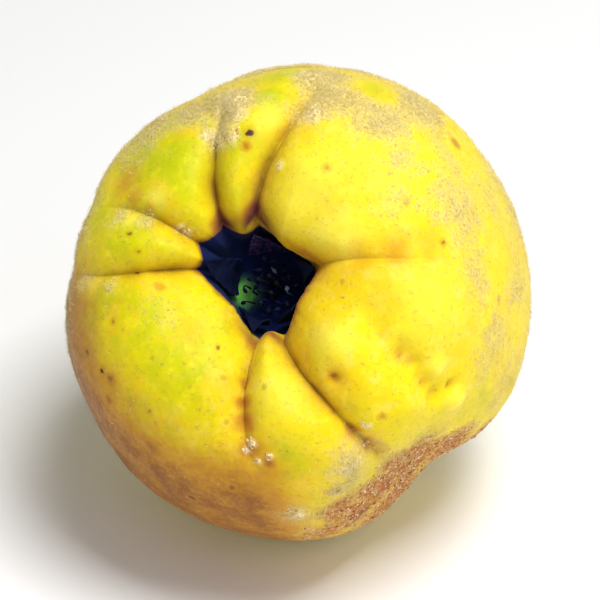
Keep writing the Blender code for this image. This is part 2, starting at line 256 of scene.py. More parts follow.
def face_outwards(merge=0.0):
    """Joins the points of the piece in hand that are nearer than merge, and turns its faces outwards."""
    bpy.ops.object.mode_set(mode="EDIT")
    bpy.ops.mesh.select_all(action="SELECT")
    if merge:
        bpy.ops.mesh.remove_doubles(threshold=merge)
    bpy.ops.mesh.normals_make_consistent(inside=False)
    bpy.ops.object.mode_set(mode="OBJECT")


def place_points(piece, points, merge=0.0):
    """Moves the points of the piece in hand to places given in metres."""
    piece.data.vertices.foreach_set("co", np.float32(points).ravel())
    face_outwards(merge)


def new_ball(name, rings, columns):
    """A ball to draw a round piece from."""
    bpy.ops.mesh.primitive_uv_sphere_add(segments=columns, ring_count=rings, radius=1.0)
    ball = bpy.context.object
    ball.name = ball.data.name = name
    return ball


def column_bearings(along, column):
    """Bearings of the mesh columns: they follow the creases, and crowd towards them."""
    bearing = np.zeros_like(along)
    first = 0
    for crease, following in zip(CREASES, CREASES[1:] + CREASES[:1]):
        start = crease_bearing(crease, along)
        width = (crease_bearing(following, along) - start) % 360.0
        even = (column - first) / crease.columns
        crowded = (1.0 - np.cos(np.pi * even)) / 2.0
        inside = (even >= 0.0) & (even < 1.0)
        bearing = np.where(inside, start + width * (even + crowded) / 2.0, bearing)
        first += crease.columns
    return bearing % 360.0


def rough(points, size, octaves=3):
    """Fractal noise from -1 to 1 at each point, with features of the given size."""
    return np.array([noise.fractal(Vector(point / size), 1.0, 2.0, octaves) for point in points])


lie = np.array(Euler((math.radians(AXIS_LEAN), 0.0, math.radians(AXIS_TURN))).to_matrix())


def lay_down(points):
    """Points of the fruit's frame laid down as the fruit lies, in metres."""
    return points @ lie.T * MM


fruit = new_ball("quince_skin", RINGS, COLUMNS)
ring, column = read_ball(fruit, RINGS, COLUMNS)
ring_marks = np.cumsum([0] + [count for _, count in RING_STRETCHES])
share_marks = [0.0] + [share for share, _ in RING_STRETCHES]
along = np.interp(ring, ring_marks, share_marks) * LENGTH
bearing = column_bearings(along, column)
radius, height, _, _ = section_at(along)
base = round_axis(radius, height, bearing)

plain = lay_down(skin_points(along, bearing))
low, high = plain.min(axis=0), plain.max(axis=0)
place = np.array(FRUIT_LOW + FRUIT_HIGH) / 2.0 - (low + high) / 2.0
place[2] = FRUIT_HIGH.z - high[2]


def in_place(points):
    """Points of the fruit's frame where the fruit lies, in metres."""
    return lay_down(points) + place


# Where the skin is downy, matted, green, gold, blushed or scabbed, and where shade and highlights are
# painted on it: bearing, along, width and amount.
Patch = namedtuple("Patch", "bearing along width amount")
DOWN_PATCHES = (
    Patch(110, 44, 6, 1.1), Patch(122, 46, 8, 1.0), Patch(139, 49, 8, 0.9), Patch(117, 37, 4, 0.9),
    Patch(88, 54, 7, 1.3), Patch(79, 48, 6, 1.2), Patch(64, 49, 7, 1.0), Patch(62, 61, 8, 1.2),
    Patch(48, 46, 5, 0.5), Patch(36, 41, 5, 0.45), Patch(45, 57, 5, 0.6), Patch(31, 54, 8, 0.8),
    Patch(14, 57, 7, 0.6), Patch(359, 65, 8, 0.6), Patch(352, 77, 9, 0.5), Patch(310, 51, 5, 0.8),
    Patch(14, 72, 9, 0.6), Patch(36, 66, 7, 0.6), Patch(352, 64, 5, 0.4), Patch(304, 57, 5, 0.7),
    Patch(289, 60, 4, 0.5), Patch(158, 25, 2, 0.5), Patch(176, 52, 7, 0.5), Patch(196, 62, 10, 0.45),
    Patch(154, 60, 8, 0.5), Patch(326, 66, 7, 0.5), Patch(104, 66, 12, 0.8), Patch(84, 72, 10, 0.6),
    Patch(40, 84, 14, 0.6), Patch(220, 92, 16, 0.4), Patch(167.6, 39.7, 2.4, 0.8), Patch(164, 34, 2, 0.7),
    Patch(191, 46, 2.5, 0.7), Patch(194, 38, 2, 0.5), Patch(318, 60, 5, 0.6), Patch(296, 62, 5, 0.6),
    Patch(24, 66, 16, 0.35), Patch(84, 44, 6, 0.5), Patch(12, 104, 16, 0.7), Patch(150, 100, 18, 0.6),
    Patch(280, 104, 16, 0.4), Patch(90, 128, 12, 0.7), Patch(210, 130, 12, 0.6), Patch(330, 128, 12, 0.7),
    Patch(215, 28, 5, 0.25), Patch(232, 25, 4, 0.2),
)
CLEAR_PATCHES = (
    Patch(72, 57, 4, 0.9), Patch(48, 66, 5, 0.8), Patch(20, 66, 5, 0.8), Patch(136, 37, 6, 0.6),
    Patch(4, 74, 4, 0.6), Patch(99, 49, 3, 1.0), Patch(97, 56, 3.5, 1.0), Patch(103, 38, 3, 0.6),
)
TUFT_PATCHES = (
    Patch(281.6, 40.8, 0.8, 1.0), Patch(279.6, 42.4, 0.7, 1.0), Patch(287.4, 43.3, 0.6, 0.9),
    Patch(283, 44.3, 0.6, 0.9), Patch(158.2, 27.3, 0.9, 0.7), Patch(158, 25.2, 0.8, 0.8),
    Patch(121, 38.5, 1.4, 0.9), Patch(117, 37, 1.3, 1.0), Patch(111.5, 44, 2.4, 1.3),
    Patch(110, 35.7, 1.2, 0.8), Patch(113, 47, 2.0, 1.1), Patch(109, 40.5, 1.8, 1.1),
    Patch(82.3, 42.3, 2.0, 1.0), Patch(88.2, 30.9, 0.8, 0.8), Patch(289, 59.4, 1.8, 1.0),
    Patch(301.7, 56.1, 1.2, 0.9), Patch(308, 51.5, 1.7, 0.9), Patch(320, 71, 1.0, 0.7),
    Patch(300, 71, 1.0, 0.9), Patch(319.5, 45.7, 0.8, 0.8), Patch(90, 54, 2.5, 0.6),
    Patch(62, 61, 2.5, 0.5),
)
# Green patches: less ripe skin, and in some places a green tint that is painted shade.
GREEN_AND_SHADE_PATCHES = (
    Patch(136, 36, 12, 0.9), Patch(142, 46, 10, 0.8), Patch(97, 52, 8, 0.6), Patch(72, 57, 5, 0.6),
    Patch(170, 36, 9, 0.8), Patch(200, 40, 11, 0.6), Patch(328, 62, 6, 0.5), Patch(45, 68, 8, 0.4),
    Patch(215, 34, 12, 0.6), Patch(310, 58, 6, 0.5), Patch(245, 36, 12, 0.6), Patch(104, 34, 6, 0.8),
    Patch(112, 26, 5, 0.6), Patch(128, 28, 6, 0.6), Patch(172, 28, 6, 0.6), Patch(100, 60, 7, 0.55),
    Patch(99, 51, 5, 0.6), Patch(168, 44, 8, 0.6), Patch(238, 31, 11, 0.75), Patch(206, 32, 8, 0.7),
    Patch(98, 44, 4, 1.0), Patch(297, 44, 7, 0.5), Patch(342, 70, 8, 0.4), Patch(130, 90, 22, 0.5),
    Patch(60, 110, 20, 0.4),
)
# Tan and rust patches: partly blush, partly painted shade, darkest at the lower edge.
BLUSH_AND_SHADE_PATCHES = (
    Patch(155, 43, 4, 0.5), Patch(186, 60, 10, 0.7), Patch(165, 68, 12, 0.6), Patch(300, 84, 14, 0.6),
    Patch(280, 42, 3, 0.7), Patch(284, 47, 4, 0.6), Patch(312, 60, 6, 0.3), Patch(300, 62, 6, 0.4),
    Patch(279, 37, 2.2, 0.9), Patch(277.5, 33, 1.6, 0.8), Patch(276.5, 28, 1.2, 0.6),
    Patch(286.5, 44.8, 1.6, 1.0), Patch(226, 45, 6, 0.6), Patch(228, 47, 2.5, 0.9),
    Patch(247, 48, 4, 0.9), Patch(261, 56.5, 3, 1.0), Patch(244, 54, 9, 0.75), Patch(268, 57, 8, 0.7),
    Patch(236, 54, 6, 0.95), Patch(218, 48, 3, 0.8), Patch(316, 51, 2.0, 0.75), Patch(315, 46, 1.8, 0.7),
    Patch(313.5, 40, 1.4, 0.5), Patch(158, 39, 2.4, 0.5), Patch(159, 34.5, 1.6, 0.4),
    Patch(109, 21, 2.6, 0.7), Patch(138.5, 22, 1.8, 0.8),
)
GOLD_PATCHES = (
    Patch(22, 18, 3, 0.8), Patch(12, 25, 5, 1.0), Patch(330, 24, 6, 0.8), Patch(16, 36, 4, 0.8),
    Patch(300, 44, 8, 0.4), Patch(268, 34, 7, 0.5), Patch(0, 48, 12, 0.4), Patch(322, 36, 5, 0.7),
)
# Plum patches: painted shade at the ends of the creases by the calyx, and two purple marks on the scab.
PLUM_AND_SHADE_PATCHES = (
    Patch(107, 19, 3.1, 1.4), Patch(137, 20, 2.6, 1.2), Patch(20, 15, 1.8, 0.5), Patch(95, 16, 2.4, 0.7),
    Patch(120, 16, 2.2, 0.5), Patch(334, 15, 3.0, 0.6), Patch(275, 16, 3.0, 0.7),
    Patch(298, 19, 3.0, 0.5), Patch(350, 15, 2.6, 0.6), Patch(302, 72.3, 1.6, 1.0),
    Patch(298, 74, 1.4, 0.9),
)
# Ochre patches: the gold-orange of the rim, and painted shade along the valleys and the furrow.
OCHRE_AND_SHADE_PATCHES = (
    Patch(344, 42.5, 1.4, 0.5), Patch(340, 50.5, 1.3, 0.5), Patch(343, 57.2, 1.2, 0.5),
    Patch(347.5, 37.3, 1.6, 0.4), Patch(343, 45.3, 1.3, 0.5), Patch(341, 48, 1.3, 0.5),
    Patch(338.6, 53.5, 1.4, 0.5), Patch(322, 35, 2.6, 0.6), Patch(27.5, 26, 3.0, 0.4),
    Patch(20, 31, 3.2, 0.9), Patch(20, 38, 3.2, 0.8), Patch(20.5, 44, 3.2, 0.6), Patch(27, 20, 3.0, 0.5),
    Patch(350, 18, 3.0, 0.7), Patch(5, 17, 3.0, 0.7), Patch(60, 17, 3.0, 0.6), Patch(84, 16, 3.0, 0.6),
    Patch(313.5, 38, 2.0, 0.6), Patch(315, 46, 2.2, 0.7), Patch(279, 33, 2.0, 0.9),
    Patch(280, 37, 2.4, 1.0), Patch(282, 42, 2.6, 1.0), Patch(286, 46, 3.0, 0.8),
    Patch(312, 34, 2.5, 0.6), Patch(310, 28, 2.5, 0.7), Patch(17, 22, 2.5, 0.8), Patch(16, 30, 2.0, 0.6),
    Patch(337, 17, 3.5, 0.8), Patch(104.5, 33.8, 2.0, 0.5), Patch(2, 36, 4.0, 0.4),
    Patch(326, 62, 4.0, 0.4),
)
# Painted highlights on ridges and bumps, partly paler skin.
HIGHLIGHT_PATCHES = (
    Patch(38, 27, 4.5, 1.0), Patch(66, 28, 8, 0.6), Patch(333, 30, 3.5, 0.9), Patch(345.5, 51, 1.8, 1.0),
    Patch(340.7, 60, 1.9, 1.0), Patch(300, 32, 5, 0.5), Patch(31, 29, 4, 1.0), Patch(97, 40, 2.5, 0.6),
    Patch(50, 45, 12, 0.2), Patch(191, 43, 2.0, 0.9), Patch(166, 37, 1.8, 0.8), Patch(4, 44, 9, 0.4),
    Patch(152, 34, 2.0, 0.8),
)
SCAB_PATCHES = (
    Patch(299, 64, 5, 0.85), Patch(308, 66, 6, 0.95), Patch(317, 63, 5, 0.85), Patch(322, 68, 6, 0.95),
    Patch(330, 77, 6, 0.95), Patch(313, 69, 6, 0.9), Patch(324, 73, 6, 0.9), Patch(292, 72, 6, 0.8),
    Patch(301, 69, 6, 1.0), Patch(310, 71, 6, 1.0), Patch(318, 76, 7, 1.0), Patch(327, 82, 7, 1.0),
    Patch(335, 89, 6, 0.8), Patch(308, 84, 10, 1.0), Patch(320, 96, 11, 1.0), Patch(317, 54, 2.5, 0.5),
)


def patched(patches):
    """The strongest of the patches at each point of the skin."""
    strongest = np.zeros(len(base))
    for patch in patches:
        strongest = np.maximum(strongest, patch.amount * near_place(base, *patch[:3]))
    return strongest


# Brown lines in the bottoms of the creases, and a wider orange tint on their sides: partly the fruit's
# own colour, partly painted shade in the creases.
CREASE_LINE_WIDTH = 0.85
FOLD_WIDTH = 3.2
PALE_FOLD = 0.4
crease_line_and_shade = np.zeros_like(along)
fold = np.zeros_like(along)
for crease in CREASES:
    sideways, strength = beside_crease(crease, along, bearing, radius)
    narrow = np.exp(-(sideways / CREASE_LINE_WIDTH) ** 2)
    wide = np.exp(-(sideways / FOLD_WIDTH) ** 2)
    crease_line_and_shade = np.maximum(crease_line_and_shade, crease.dark * strength * narrow)
    fold = np.maximum(fold, (PALE_FOLD + (1.0 - PALE_FOLD) * crease.dark) * strength * wide)

# Down and scab, with ragged edges.
CLUMP_SIZE = 3.2
FLECK_SIZE = 1.3
SCAB_GRAIN = 0.8
DOWN_START = (19.0, 30.0)
clumps = rough(base, CLUMP_SIZE)
flecks = rough(base, FLECK_SIZE)
scab = np.clip(1.5 * patched(SCAB_PATCHES) - 0.28 + 0.26 * clumps, 0.0, 1.0)
downy = patched(DOWN_PATCHES)
down = downy - patched(CLEAR_PATCHES) + 0.28 * clumps * smooth(0.0, 0.4, downy)
down = np.clip(down, 0.0, 1.0) * (1.0 - 0.6 * scab) * smooth(*DOWN_START, along)
tuft = np.clip(patched(TUFT_PATCHES) + 0.4 * flecks, 0.0, 1.0) * (patched(TUFT_PATCHES) > 0.1)

# The inside of the tube is painted near-black blue out to a slanted edge, which reaches farther out in
# one corner: the dark lining of the tube, darkened and tinted blue as painted shade. One place of it is
# green.
TUBE_EDGE = 14.0
TUBE_EDGE_SLANT = 4.4
TUBE_EDGE_BEARING = 190.0
TUBE_EDGE_BLEND = 1.6
TUBE_CORNER = 3.6
TUBE_CORNER_BEARING = 156.0
TUBE_CORNER_WIDTH = 26.0
# A green spot on the floor of the tube: its bearing, along and width.
GREEN_SPOT_BEARING = 196.0
GREEN_SPOT_ALONG = 6.4
GREEN_SPOT_WIDTH = 2.6
STALK_RUSSET_ALONG = (118.0, 146.0)
tube_edge = TUBE_EDGE + TUBE_EDGE_SLANT * np.cos(np.radians(bearing - TUBE_EDGE_BEARING))
tube_edge += TUBE_CORNER * np.exp(-((bearing - TUBE_CORNER_BEARING) / TUBE_CORNER_WIDTH) ** 2)
past_edge = along - tube_edge + 0.7 * clumps - 0.8 * fold
tube = 1.0 - smooth(-TUBE_EDGE_BLEND, TUBE_EDGE_BLEND, past_edge)
tube_green_spot = near_place(base, GREEN_SPOT_BEARING, GREEN_SPOT_ALONG, GREEN_SPOT_WIDTH)
russet = smooth(*STALK_RUSSET_ALONG, along + 5.0 * clumps)

# Slow undulation, the fine wrinkles of the rim, the tufts, and the grain of the scab.
UNDULATION = 0.32
UNDULATION_SIZE = 12.0
UNDULATION_START = (16.0, 32.0)
UNEVENNESS = 0.10
UNEVENNESS_START = (20.0, 34.0)
WRINKLE_HEIGHT = 0.14
WRINKLES_ALONG = (12.0, 17.0, 19.0, 32.0)
WRINKLE_BEARINGS = 8.0
WRINKLE_LENGTH = 12.0
round_the_rim = np.stack([bearing / WRINKLE_BEARINGS, along / WRINKLE_LENGTH, 0.0 * along], axis=-1)
relief = UNDULATION * rough(base, UNDULATION_SIZE) * smooth(*UNDULATION_START, along)
relief += UNEVENNESS * clumps * smooth(*UNEVENNESS_START, along)
relief += WRINKLE_HEIGHT * between(WRINKLES_ALONG, along) * rough(round_the_rim, 1.0, 2)
relief += tuft * (0.30 + 0.25 * flecks) + 0.10 * down * flecks
relief += scab * (0.30 * flecks + 0.25 * rough(base, SCAB_GRAIN, 2))
points = in_place(skin_points(along, bearing, relief))
points[:, 2] = np.maximum(points[:, 2], 0.0)
place_points(fruit, points)
bpy.ops.object.shade_smooth()

# Tan and rust over one side of the fruit, partly blush and partly painted shade of the shaded side,
# and the brown tint of the rim.
BLUSH_AND_SHADE_ALONG = (33.0, 56.0, 78.0, 100.0)
BLUSH_AND_SHADE_BEARINGS = (168.0, 204.0, 276.0, 302.0)
RIM_TINT = 0.75
RIM_TINT_ALONG = 18.6
RIM_TINT_WIDTH = 2.3
RIM_TINT_BEARING = 345.0
start, full, fading, end = BLUSH_AND_SHADE_ALONG
blush_and_shade_band = between(BLUSH_AND_SHADE_BEARINGS, bearing)
blush_and_shade_band = blush_and_shade_band * smooth(start, full, along + 1.5 * clumps) * (1.0 - smooth(fading, end, along))
rim = RIM_TINT * np.exp(-((along - RIM_TINT_ALONG) / RIM_TINT_WIDTH) ** 2) * (1.0 + 0.5 * clumps)
rim *= 0.5 + 0.5 * np.cos(np.radians(bearing - RIM_TINT_BEARING))
blush_and_shade = np.maximum(patched(BLUSH_AND_SHADE_PATCHES), np.maximum(blush_and_shade_band, rim))

SKIN_LAYERS = {
    "crease_line_and_shade": crease_line_and_shade, "fold": fold, "scab": scab, "down": down, "tuft": tuft, "tube": tube,
    "tube_green_spot": tube_green_spot, "russet": russet, "blush_and_shade": blush_and_shade, "green": patched(GREEN_AND_SHADE_PATCHES),
    "gold": patched(GOLD_PATCHES), "plum_and_shade": patched(PLUM_AND_SHADE_PATCHES), "ochre_and_shade": patched(OCHRE_AND_SHADE_PATCHES),
    "pale": patched(HIGHLIGHT_PATCHES),
}
for name, values in SKIN_LAYERS.items():
    layer = fruit.data.attributes.new(name, "FLOAT", "POINT")
    layer.data.foreach_set("value", np.float32(values))


def paint(red, green, blue):
    """A colour as a painter gives it, from 0 to 255, turned into the light that a shader works with."""
    def light(value):
        value /= 255.0
        return value / 12.92 if value <= 0.04045 else ((value + 0.055) / 1.055) ** 2.4
    return (light(red), light(green), light(blue), 1.0)


class Finish:
    """A material, or a group of nodes, with short ways to add nodes to it."""

    def __init__(self, tree):
        self.tree = tree

    def add(self, kind, inputs=None, **settings):
        """Adds a node. Inputs are values, or outputs of other nodes."""
        node = self.tree.nodes.new(kind)
        for name, value in settings.items():
            setattr(node, name, value)
        for name, value in (inputs or {}).items():
            self.feed(node.inputs[name], value)
        return node

    def feed(self, socket, value):
        """Sets a socket to a value, or links another node's output to it."""
        if isinstance(value, bpy.types.NodeSocket):
            self.tree.links.new(value, socket)
        else:
            socket.default_value = value

    def mix(self, amount, first, second, blend="MIX"):
        """One colour laid over another by an amount."""
        node = self.add("ShaderNodeMix", data_type="RGBA", blend_type=blend, clamp_factor=True)
        for index, value in ((0, amount), (6, first), (7, second)):
            self.feed(node.inputs[index], value)
        return node.outputs[2]

    def reckon(self, operation, first, second=0.0, third=0.0, clamp=False):
        """Arithmetic on values."""
        node = self.add("ShaderNodeMath", operation=operation, use_clamp=clamp)
        for index, value in enumerate((first, second, third)):
            self.feed(node.inputs[index], value)
        return node.outputs[0]

    def step(self, value, low, high, to_low=0.0, to_high=1.0):
        """A smooth step of a value from low to high."""
        node = self.add("ShaderNodeMapRange", {"Value": value, "From Min": low, "From Max": high,
                                               "To Min": to_low, "To Max": to_high},
                        interpolation_type="SMOOTHSTEP")
        return node.outputs["Result"]

    def grain(self, where, size, detail=3.0, roughness=0.55, distortion=0.0):
        """Cloudy noise with features of the given size in millimetres."""
        node = self.add("ShaderNodeTexNoise", {"Vector": where, "Scale": 1.0 / (size * MM),
                                               "Detail": detail, "Roughness": roughness,
                                               "Distortion": distortion})
        return node.outputs["Fac"]

    def layer(self, name):
        """A painted layer of the mesh."""
        return self.add("ShaderNodeAttribute", attribute_name=name).outputs["Fac"]

    def broken(self, name, cloud, *marks):
        """A painted layer of the mesh, broken up by a smooth step of a noise."""
        return self.reckon("MULTIPLY", self.layer(name), self.step(cloud, *marks))

    def drift(self, colour, drifts):
        """Colours that drift over a colour. Each has the noise that it follows, where in the noise it
        starts and is full, how much of it then shows, and the colour."""
        for cloud, start, full, amount, tone in drifts:
            colour = self.mix(self.step(cloud, start, full, 0.0, amount), colour, tone)
        return colour


def new_finish(name):
    """A new material with its Principled shader."""
    material = bpy.data.materials.new(name)
    material.use_nodes = True
    finish = Finish(material.node_tree)
    return material, finish, material.node_tree.nodes["Principled BSDF"]


def new_group(name, inputs, outputs):
    """A new node group with named sockets."""
    group = bpy.data.node_groups.new(name, "ShaderNodeTree")
    for socket, kind in inputs.items():
        group.interface.new_socket(socket, in_out="INPUT", socket_type=kind)
    for socket, kind in outputs.items():
        group.interface.new_socket(socket, in_out="OUTPUT", socket_type=kind)
    finish = Finish(group)
    return group, finish, finish.add("NodeGroupInput").outputs, finish.add("NodeGroupOutput").inputs


# A small spot on the skin with a ragged edge: a dark heart and a wider halo.
SPOT_RAGS = 900.0
SPOT_RAG_DEPTH = 1.2
spot_group, spot, given, result = new_group(
    "skin_spot", {"Where": "NodeSocketVector", "Middle": "NodeSocketVector", "Size": "NodeSocketFloat"},
    {"Heart": "NodeSocketFloat", "Halo": "NodeSocketFloat"})
ragged = spot.add("ShaderNodeTexNoise", {"Vector": given["Where"], "Scale": SPOT_RAGS, "Detail": 2.0})
shifted = spot.add("ShaderNodeVectorMath", {0: ragged.outputs["Color"], 1: (0.5, 0.5, 0.5)},
                   operation="SUBTRACT").outputs[0]
scaled = spot.add("ShaderNodeVectorMath", {0: shifted, "Scale": SPOT_RAG_DEPTH * MM},
                  operation="SCALE").outputs[0]
moved = spot.add("ShaderNodeVectorMath", {0: given["Where"], 1: scaled}, operation="ADD").outputs[0]
apart = spot.add("ShaderNodeVectorMath", {0: moved, 1: given["Middle"]}, operation="DISTANCE")
share = spot.reckon("DIVIDE", apart.outputs["Value"], given["Size"])
spot.feed(result["Heart"], spot.step(share, 0.55, 1.0, 1.0, 0.0))
spot.feed(result["Halo"], spot.step(share, 0.8, 2.4, 1.0, 0.0))

# Spots: bearing, along, radius, and how dark the heart and the halo are.
Spot = namedtuple("Spot", "bearing along radius heart halo")
SPOTS = (
    Spot(103.3, 36.1, 0.9, 1.0, 0.4), Spot(104.5, 33.8, 0.6, 0.3, 0.8), Spot(322.1, 34.6, 0.7, 0.45, 0.8),
    Spot(342.8, 42.8, 0.7, 0.25, 0.3), Spot(339.3, 50.2, 0.6, 0.3, 0.3), Spot(342.9, 56.5, 0.6, 0.4, 0.4),
    Spot(325.1, 45.9, 0.6, 0.2, 0.5), Spot(7.8, 63.6, 0.5, 0.5, 0.5), Spot(3.8, 62.5, 0.4, 0.4, 0.4),
    Spot(21.1, 47.3, 0.5, 0.5, 0.5), Spot(64.8, 34.0, 0.6, 0.25, 0.4), Spot(35.6, 41.8, 0.6, 0.25, 0.4),
    Spot(49.1, 62.5, 0.9, 0.1, 0.8), Spot(13.4, 53.8, 0.5, 0.4, 0.3), Spot(172.2, 35.2, 0.5, 0.6, 0.4),
    Spot(178.8, 32.6, 0.4, 0.5, 0.4), Spot(220.5, 44.1, 0.6, 1.0, 0.6), Spot(224.3, 43.1, 0.8, 0.4, 0.8),
    Spot(254.2, 24.9, 0.4, 0.6, 0.4), Spot(207.7, 37.8, 0.5, 0.4, 0.3), Spot(195.6, 28.2, 0.6, 0.0, 0.6),
    Spot(212.3, 46.8, 0.7, 0.6, 0.5), Spot(242.3, 40.9, 0.5, 0.4, 0.4), Spot(260.7, 57.9, 1.0, 0.8, 0.6),
    Spot(273.6, 51.1, 0.8, 0.5, 0.6), Spot(277.1, 29.0, 0.5, 0.6, 0.4), Spot(300.9, 74.5, 0.9, 0.9, 0.3),
    Spot(312.3, 79.3, 1.0, 0.4, 0.9), Spot(188.0, 33.4, 0.5, 0.7, 0.3), Spot(90, 88, 0.8, 0.7, 0.6),
    Spot(30, 96, 0.7, 0.8, 0.5), Spot(200, 84, 0.8, 0.6, 0.6), Spot(150, 78, 0.6, 0.7, 0.5),
    Spot(350, 100, 0.9, 0.5, 0.7), Spot(250, 100, 0.8, 0.7, 0.6), Spot(120, 116, 1.0, 0.6, 0.6),
)

LEMON = paint(232, 209, 4)
GOLD = paint(236, 200, 8)
GREEN = paint(190, 196, 0)
OLIVE = paint(168, 150, 24)
ORANGE = paint(212, 146, 14)
# Brown of the lenticels, and of the crease lines, where it is partly painted shade.
DOT_BROWN_AND_CREASE_SHADE = paint(126, 78, 30)
SPOT_BROWN = paint(66, 42, 16)
HALO_OCHRE = paint(190, 128, 14)
TAN = paint(190, 118, 28)
RUSSET = paint(132, 78, 36)
# The darkest tone of the blush, partly painted shade.
RUST_AND_SHADE = paint(118, 54, 18)
PLUM = paint(106, 44, 50)
RIM_BROWN = paint(150, 84, 30)
SCAB_TAN = paint(198, 150, 92)
SCAB_DARK = paint(128, 70, 50)
SCAB_RUST = paint(178, 92, 56)
SCAB_PALE = paint(236, 212, 166)
SCAB_EDGE = paint(204, 168, 74)
FELT_GREEN = paint(210, 204, 92)
FELT_PALE = paint(230, 210, 140)
FELT_SHADE = paint(216, 194, 106)
TUFT_CREAM = paint(250, 234, 184)
TUBE_SHADE_BLUE = paint(1, 21, 72)
PALE_YELLOW = paint(250, 234, 40)
HIGHLIGHT_YELLOW = paint(255, 242, 84)
BUFF = paint(244, 218, 98)
HONEY = paint(240, 190, 18)
TUBE_SPOT_GREEN = paint(104, 178, 70)

SKIN_GRAIN_DEPTH = 0.2
skin, coat, shader = new_finish("quince_skin")
where = coat.add("ShaderNodeTexCoord").outputs["Object"]
broad = coat.grain(where, 22.0, 3.0)
middling = coat.grain(where, 5.0, 4.0)
fine = coat.grain(where, 0.9, 4.0, 0.65)
finest = coat.grain(where, 0.28, 3.0, 0.7)

# The ground is lemon and gold, and green where it is less ripe; some of the green is painted shade.
# Other yellows drift and smear over it.
colour = coat.mix(coat.step(coat.reckon("MULTIPLY_ADD", coat.layer("gold"), 0.9, broad), 0.45, 1.1),
                  LEMON, GOLD)
leaf = coat.reckon("MULTIPLY_ADD", coat.layer("green"), 1.0, coat.reckon("SUBTRACT", middling, 0.5))
colour = coat.mix(coat.step(leaf, 0.05, 1.0), colour, GREEN)
colour = coat.drift(colour, (
    (middling, 0.52, 0.78, 0.22, OLIVE),
    (fine, 0.5, 0.8, 0.35, OLIVE),
    (coat.grain(where, 2.0, 4.0, 0.6), 0.5, 0.78, 0.45, PALE_YELLOW),
    (coat.grain(where, 7.0, 4.0, 0.6), 0.5, 0.72, 0.5, HONEY),
))
smear = coat.step(coat.grain(where, 3.4, 5.0, 0.66), 0.46, 0.76, 0.0, 0.6)
green_share = coat.step(coat.layer("green"), 0.0, 0.8, 0.0, 0.8)
smear = coat.reckon("MULTIPLY", smear, coat.reckon("SUBTRACT", 1.0, green_share))
colour = coat.mix(smear, colour, BUFF)
# Painted highlights: the pale patches lighten ridges and bumps.
colour = coat.mix(coat.broken("pale", middling, 0.3, 0.6, 0.6, 1.0), colour, HIGHLIGHT_YELLOW)

# Orange in the folds and along the valleys, partly painted shade, and the tan and rust of the blush,
# partly painted shade too.
orange_and_shade = coat.reckon("MAXIMUM", coat.reckon("MULTIPLY", coat.layer("fold"), 0.7), coat.layer("ochre_and_shade"))
orange_and_shade = coat.reckon("MULTIPLY", orange_and_shade, coat.step(middling, 0.3, 0.65, 0.4, 0.9))
colour = coat.mix(orange_and_shade, colour, ORANGE)
# The blush darkens to rust at its strongest, partly painted shade.
blush_and_shade_amount = coat.broken("blush_and_shade", middling, 0.3, 0.7, 0.8, 1.0)
blush_and_shade_amount = coat.reckon("MULTIPLY", blush_and_shade_amount, coat.step(fine, 0.3, 0.7, 0.88, 1.04))
colour = coat.drift(colour, ((blush_and_shade_amount, 0.02, 0.65, 0.8, TAN), (blush_and_shade_amount, 0.55, 1.0, 0.8, RUST_AND_SHADE)))

# Lenticels, fine and large: how far apart, how strong, and the share of the places that have one.
LENTICELS = ((2.4, 0.12, 0.5), (7.0, 0.32, 0.35))
for size, amount, chance in LENTICELS:
    cells = coat.add("ShaderNodeTexVoronoi", {"Vector": where, "Scale": 1.0 / (size * MM)})
    dot = coat.step(cells.outputs["Distance"], 0.05, 0.12, amount, 0.0)
    pick = coat.add("ShaderNodeSeparateColor", {0: cells.outputs["Color"]}).outputs[0]
    kept = coat.reckon("LESS_THAN", pick, chance)
    colour = coat.mix(coat.reckon("MULTIPLY", dot, kept), colour, DOT_BROWN_AND_CREASE_SHADE)

# Crease lines and plum patches of the rim, both partly painted shade, the spots, and russet round the
# stalk.
colour = coat.mix(coat.broken("crease_line_and_shade", middling, 0.25, 0.6, 0.35, 1.0), colour, DOT_BROWN_AND_CREASE_SHADE)
colour = coat.mix(coat.broken("plum_and_shade", middling, 0.3, 0.6, 0.5, 0.9), colour, PLUM)
for mark in SPOTS:
    middle = in_place(skin_points(mark.along, mark.bearing))
    node = coat.add("ShaderNodeGroup", node_tree=spot_group)
    coat.feed(node.inputs["Where"], where)
    coat.feed(node.inputs["Middle"], tuple(middle))
    coat.feed(node.inputs["Size"], mark.radius * MM)
    colour = coat.mix(coat.reckon("MULTIPLY", node.outputs["Halo"], mark.halo), colour, HALO_OCHRE)
    colour = coat.mix(coat.reckon("MULTIPLY", node.outputs["Heart"], mark.heart), colour, SPOT_BROWN)
colour = coat.mix(coat.broken("russet", fine, 0.35, 0.6, 0.4, 0.9), colour, RUSSET)

# Felt of matted down, the crust of the scab, and the lining of the tube with its painted shade.
felt = coat.reckon("MULTIPLY_ADD", coat.reckon("SUBTRACT", fine, 0.5), 1.3, coat.layer("down"))
felt = coat.step(felt, 0.05, 1.0, 0.0, 0.85)
felt_colour = coat.mix(coat.step(finest, 0.35, 0.65), FELT_SHADE, FELT_PALE)
felt_colour = coat.mix(coat.step(coat.layer("green"), 0.15, 0.9, 0.0, 0.7), felt_colour, FELT_GREEN)
colour = coat.mix(felt, colour, felt_colour)
colour = coat.mix(coat.broken("tuft", finest, 0.3, 0.6, 0.5, 1.0), colour, TUFT_CREAM)
colour = coat.mix(coat.step(coat.layer("scab"), 0.0, 0.35, 0.0, 0.7), colour, SCAB_EDGE)
crust = coat.reckon("MULTIPLY_ADD", coat.reckon("SUBTRACT", fine, 0.5), 2.4, coat.layer("scab"))
crust = coat.step(crust, 0.1, 1.0, 0.0, 0.95)
